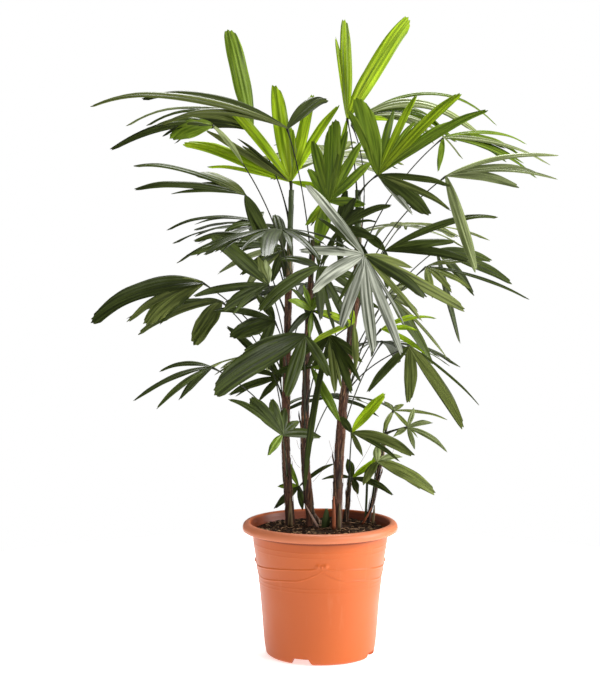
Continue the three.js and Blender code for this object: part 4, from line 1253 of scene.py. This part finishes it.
sheets, stalks = {}, Bundle()
all_fronds = [f"frond_{number:02d}" for number in FRONDS]
for index, (name, (number, row)) in enumerate(zip(all_fronds, FRONDS.items())):
    chance = random.Random(GROWTH_SEED + index)
    tree = corner_tree(name)
    seed = FIRST_SEED + SEED_STEP * index
    plans = leaflet_plans(row, seed)
    choices = [leaflet_choice(plan, tree) for plan in plans]
    solid_count = len(plans)
    if not isinstance(row[-1][0], list):
        for plan, after, choice in list(zip(plans, plans[1:], choices)):
            between = unit(plan["direction"] + after["direction"])
            length = min(plan["length"], after["length"]) * FILL_LENGTH
            width = plan["width"] * FILL_WIDTH
            plans.append(dict(plan, direction=between, length=length, width=width))
            choices.append(choice)
    for plan, choice in list(zip(plans[:solid_count], choices)):
        if plan["width"] > SPLIT_WIDTH and chance.random() < SPLIT_SHARE:
            turn = math.radians(chance.choice((-1, 1)) * chance.uniform(*SPLIT_BEARING))
            beside = np.cross(plan["normal"], plan["direction"])
            plans.append(dict(
                plan, direction=plan["direction"] * math.cos(turn) + beside * math.sin(turn),
                length=plan["length"] * chance.uniform(*SPLIT_LENGTHS),
                width=plan["width"] * chance.uniform(*SPLIT_WIDTHS),
                tint=chance.choice((plan["tint"], "dark")),
            ))
            choices.append(choice)
    if number in SLIM:
        plans += leaflet_plans((*row[:-1], SLIM[number]), seed)
        choices += [{"lift": chance.uniform(-SLIM_LIFT, SLIM_LIFT)} for _ in SLIM[number]]
    for k, (plan, choice) in enumerate(zip(plans, choices)):
        if choice is not None:
            bundle, nodes = sheets.setdefault(plan["tint"], (Bundle(), {}))
            nodes[name] = True
            grow(bundle, BLADE if k < solid_count else SLIM_BLADE, plan, choice)
    path, _, _ = stalk_line(row, STALK_STEPS, **stalk_choice(row, tree))
    length = np.linalg.norm(np.diff(path, axis=0), axis=1).sum()
    clasp = CLASP * np.exp(-STALK_STEPS * length / CLASP_REACH)
    swell = HUB_SWELL * np.exp(-((1 - STALK_STEPS) * length / HUB_LENGTH) ** 2)
    tube(stalks, STALK, path, STALK_THIN + clasp + swell, 0.2 + 0.15 * (index % 5))
middle, _, normal = fan_axes(SHOOT_REACH, SHOOT_ROLL)
spear = {
    "hub": np.array(SHOOT_STALK[-1], float), "direction": middle, "normal": normal,
    "length": math.hypot(*SHOOT_REACH), "width": SHOOT_WIDTH, "twist": 0.0, "droop": SHOOT_DROOP,
}
grow(sheets["bright"][0], BLADE, spear, {}, 0.5)
print("leaflets:", sum(len(bundle.points) for bundle, _ in sheets.values()))

# %% [markdown]
# ### The colour of the leaves
# A palm leaf is dark and waxy above, with fine parallel veins and a few stronger ribs, and young
# leaves are thinner and let much more light through. Each tint is one plain green with a wax of
# its own, dealt out leaflet by leaflet. A row gives its deep and its light green, the light that
# comes through and the share of it, the wax and the slot. The silvery tint's near-white light
# green is a painted sheen. Streaks and stripes come from the leaf's own map, and a Translucent
# shader, mixed in by a fixed share, lets the light through.

# %% Leaf finishes
TINTS = {
    "shade": ((26, 33, 6), (62, 74, 26), (90, 118, 16), 0.14, 0.12, "leaf_mature"),
    "dark": ((34, 43, 8), (84, 97, 42), (105, 135, 20), 0.16, 0.2, "leaf_mature"),
    "olive": ((54, 65, 16), (136, 146, 76), (140, 165, 30), 0.22, 0.28, "leaf_mature"),
    "fresh": ((66, 90, 6), (154, 178, 56), (160, 195, 20), 0.33, 0.35, "leaf_young"),
    "bright": ((88, 120, 0), (212, 230, 54), (196, 226, 12), 0.43, 0.38, "leaf_young"),
    "pale": ((86, 98, 46), (188, 199, 138), (155, 178, 70), 0.26, 0.35, "leaf_mature"),
    # Painted sheen: the silvery tint's near-white light green stands for the lamps' reflection on
    # the leaf.
    "silvery": ((46, 56, 26), (222, 226, 206), (120, 138, 70), 0.15, 0.4, "leaf_silvery"),
}
LEAF_THICKNESS = 0.45


def leaf_finish(name, deep, light, through, share, wax):
    finish = Finish(name, IOR=1.45, Specular_IOR_Level=wax)
    across, along, _ = finish.axes(finish.node("UVMap", 0, {"uv_map": "along"}))
    own = finish.attribute("tone")
    turns = across * (2 * math.pi)
    fold = turns.math("COSINE") * 0.5 + 0.5
    veins = (turns * 2.0).math("SINE") * 0.5 + 0.5
    inputs = {0: across * 2.2, 1: along * 1.7, 2: own * 40.0}
    lengthwise = finish.node("CombineXYZ", 0, {}, inputs)
    streaks = finish.step(finish.pattern(lengthwise, 1.5), 0.3, 0.72)
    mottle = finish.noise((60, 60, 60), 3.0)
    # For the silvery tint, the light green that the streaks bring in is a painted sheen.
    lighter = streaks * 0.7 + fold ** 2.0 * 0.16 + veins * 0.06 + mottle * 0.08
    green = finish.mix(lighter, paint(*deep), paint(*light))
    worn = finish.step(along, 0.985, 1.0)
    green = finish.mix(worn * 0.25, green, paint(96, 92, 44))
    finish.set("Base Color", finish.brighter(green, own * 0.56 + mottle * 0.2 + 0.6))
    finish.set("Roughness", mottle * 0.2 + 0.27)
    finish.bump(fold * 0.5 + streaks * 0.4, 0.0003, 0.6)
    shining = finish.brighter(paint(*through), streaks * 0.5 + 0.65)
    glow = finish.node("BsdfTranslucent", 0, {}, {"Color": shining})
    inputs = {0: share, 1: Wire(finish, finish.shader.outputs[0]), 2: glow}
    surface = finish.tree.nodes["Material Output"].inputs["Surface"]
    finish.feed(surface, finish.node("MixShader", 0, {}, inputs))
    return finish


def crisp_margins(mesh):
    """Marks the free edges as sharp, so that the thickened margin leaves the shading flat."""
    edges = np.empty(len(mesh.loops), np.int32)
    mesh.loops.foreach_get("edge_index", edges)
    free = np.bincount(edges, minlength=len(mesh.edges)) == 1
    mesh.edges.foreach_set("use_edge_sharp", free)


for tint, (bundle, nodes) in sheets.items():
    *look, slot = TINTS[tint]
    leaves = bundle.put(f"leaflets_{tint}", leaf_finish(f"leaf_{tint}", *look), slot, nodes)
    crisp_margins(leaves.data)
    thicken(leaves, LEAF_THICKNESS).offset = 0


# %% Stalk finish
stalk_finish = Finish("leaf_stalks", Roughness=0.5, Specular_IOR_Level=0.25)
stalk_green = stalk_finish.mix(stalk_finish.attribute("tone"), paint(22, 28, 12), paint(50, 58, 24))
browned = stalk_finish.noise((90, 90, 20)) * 0.5
stalk_finish.set("Base Color", stalk_finish.mix(browned, stalk_green, paint(50, 40, 32)))
stalks.put("frond_stalks", stalk_finish, "leaf_mature", all_fronds)
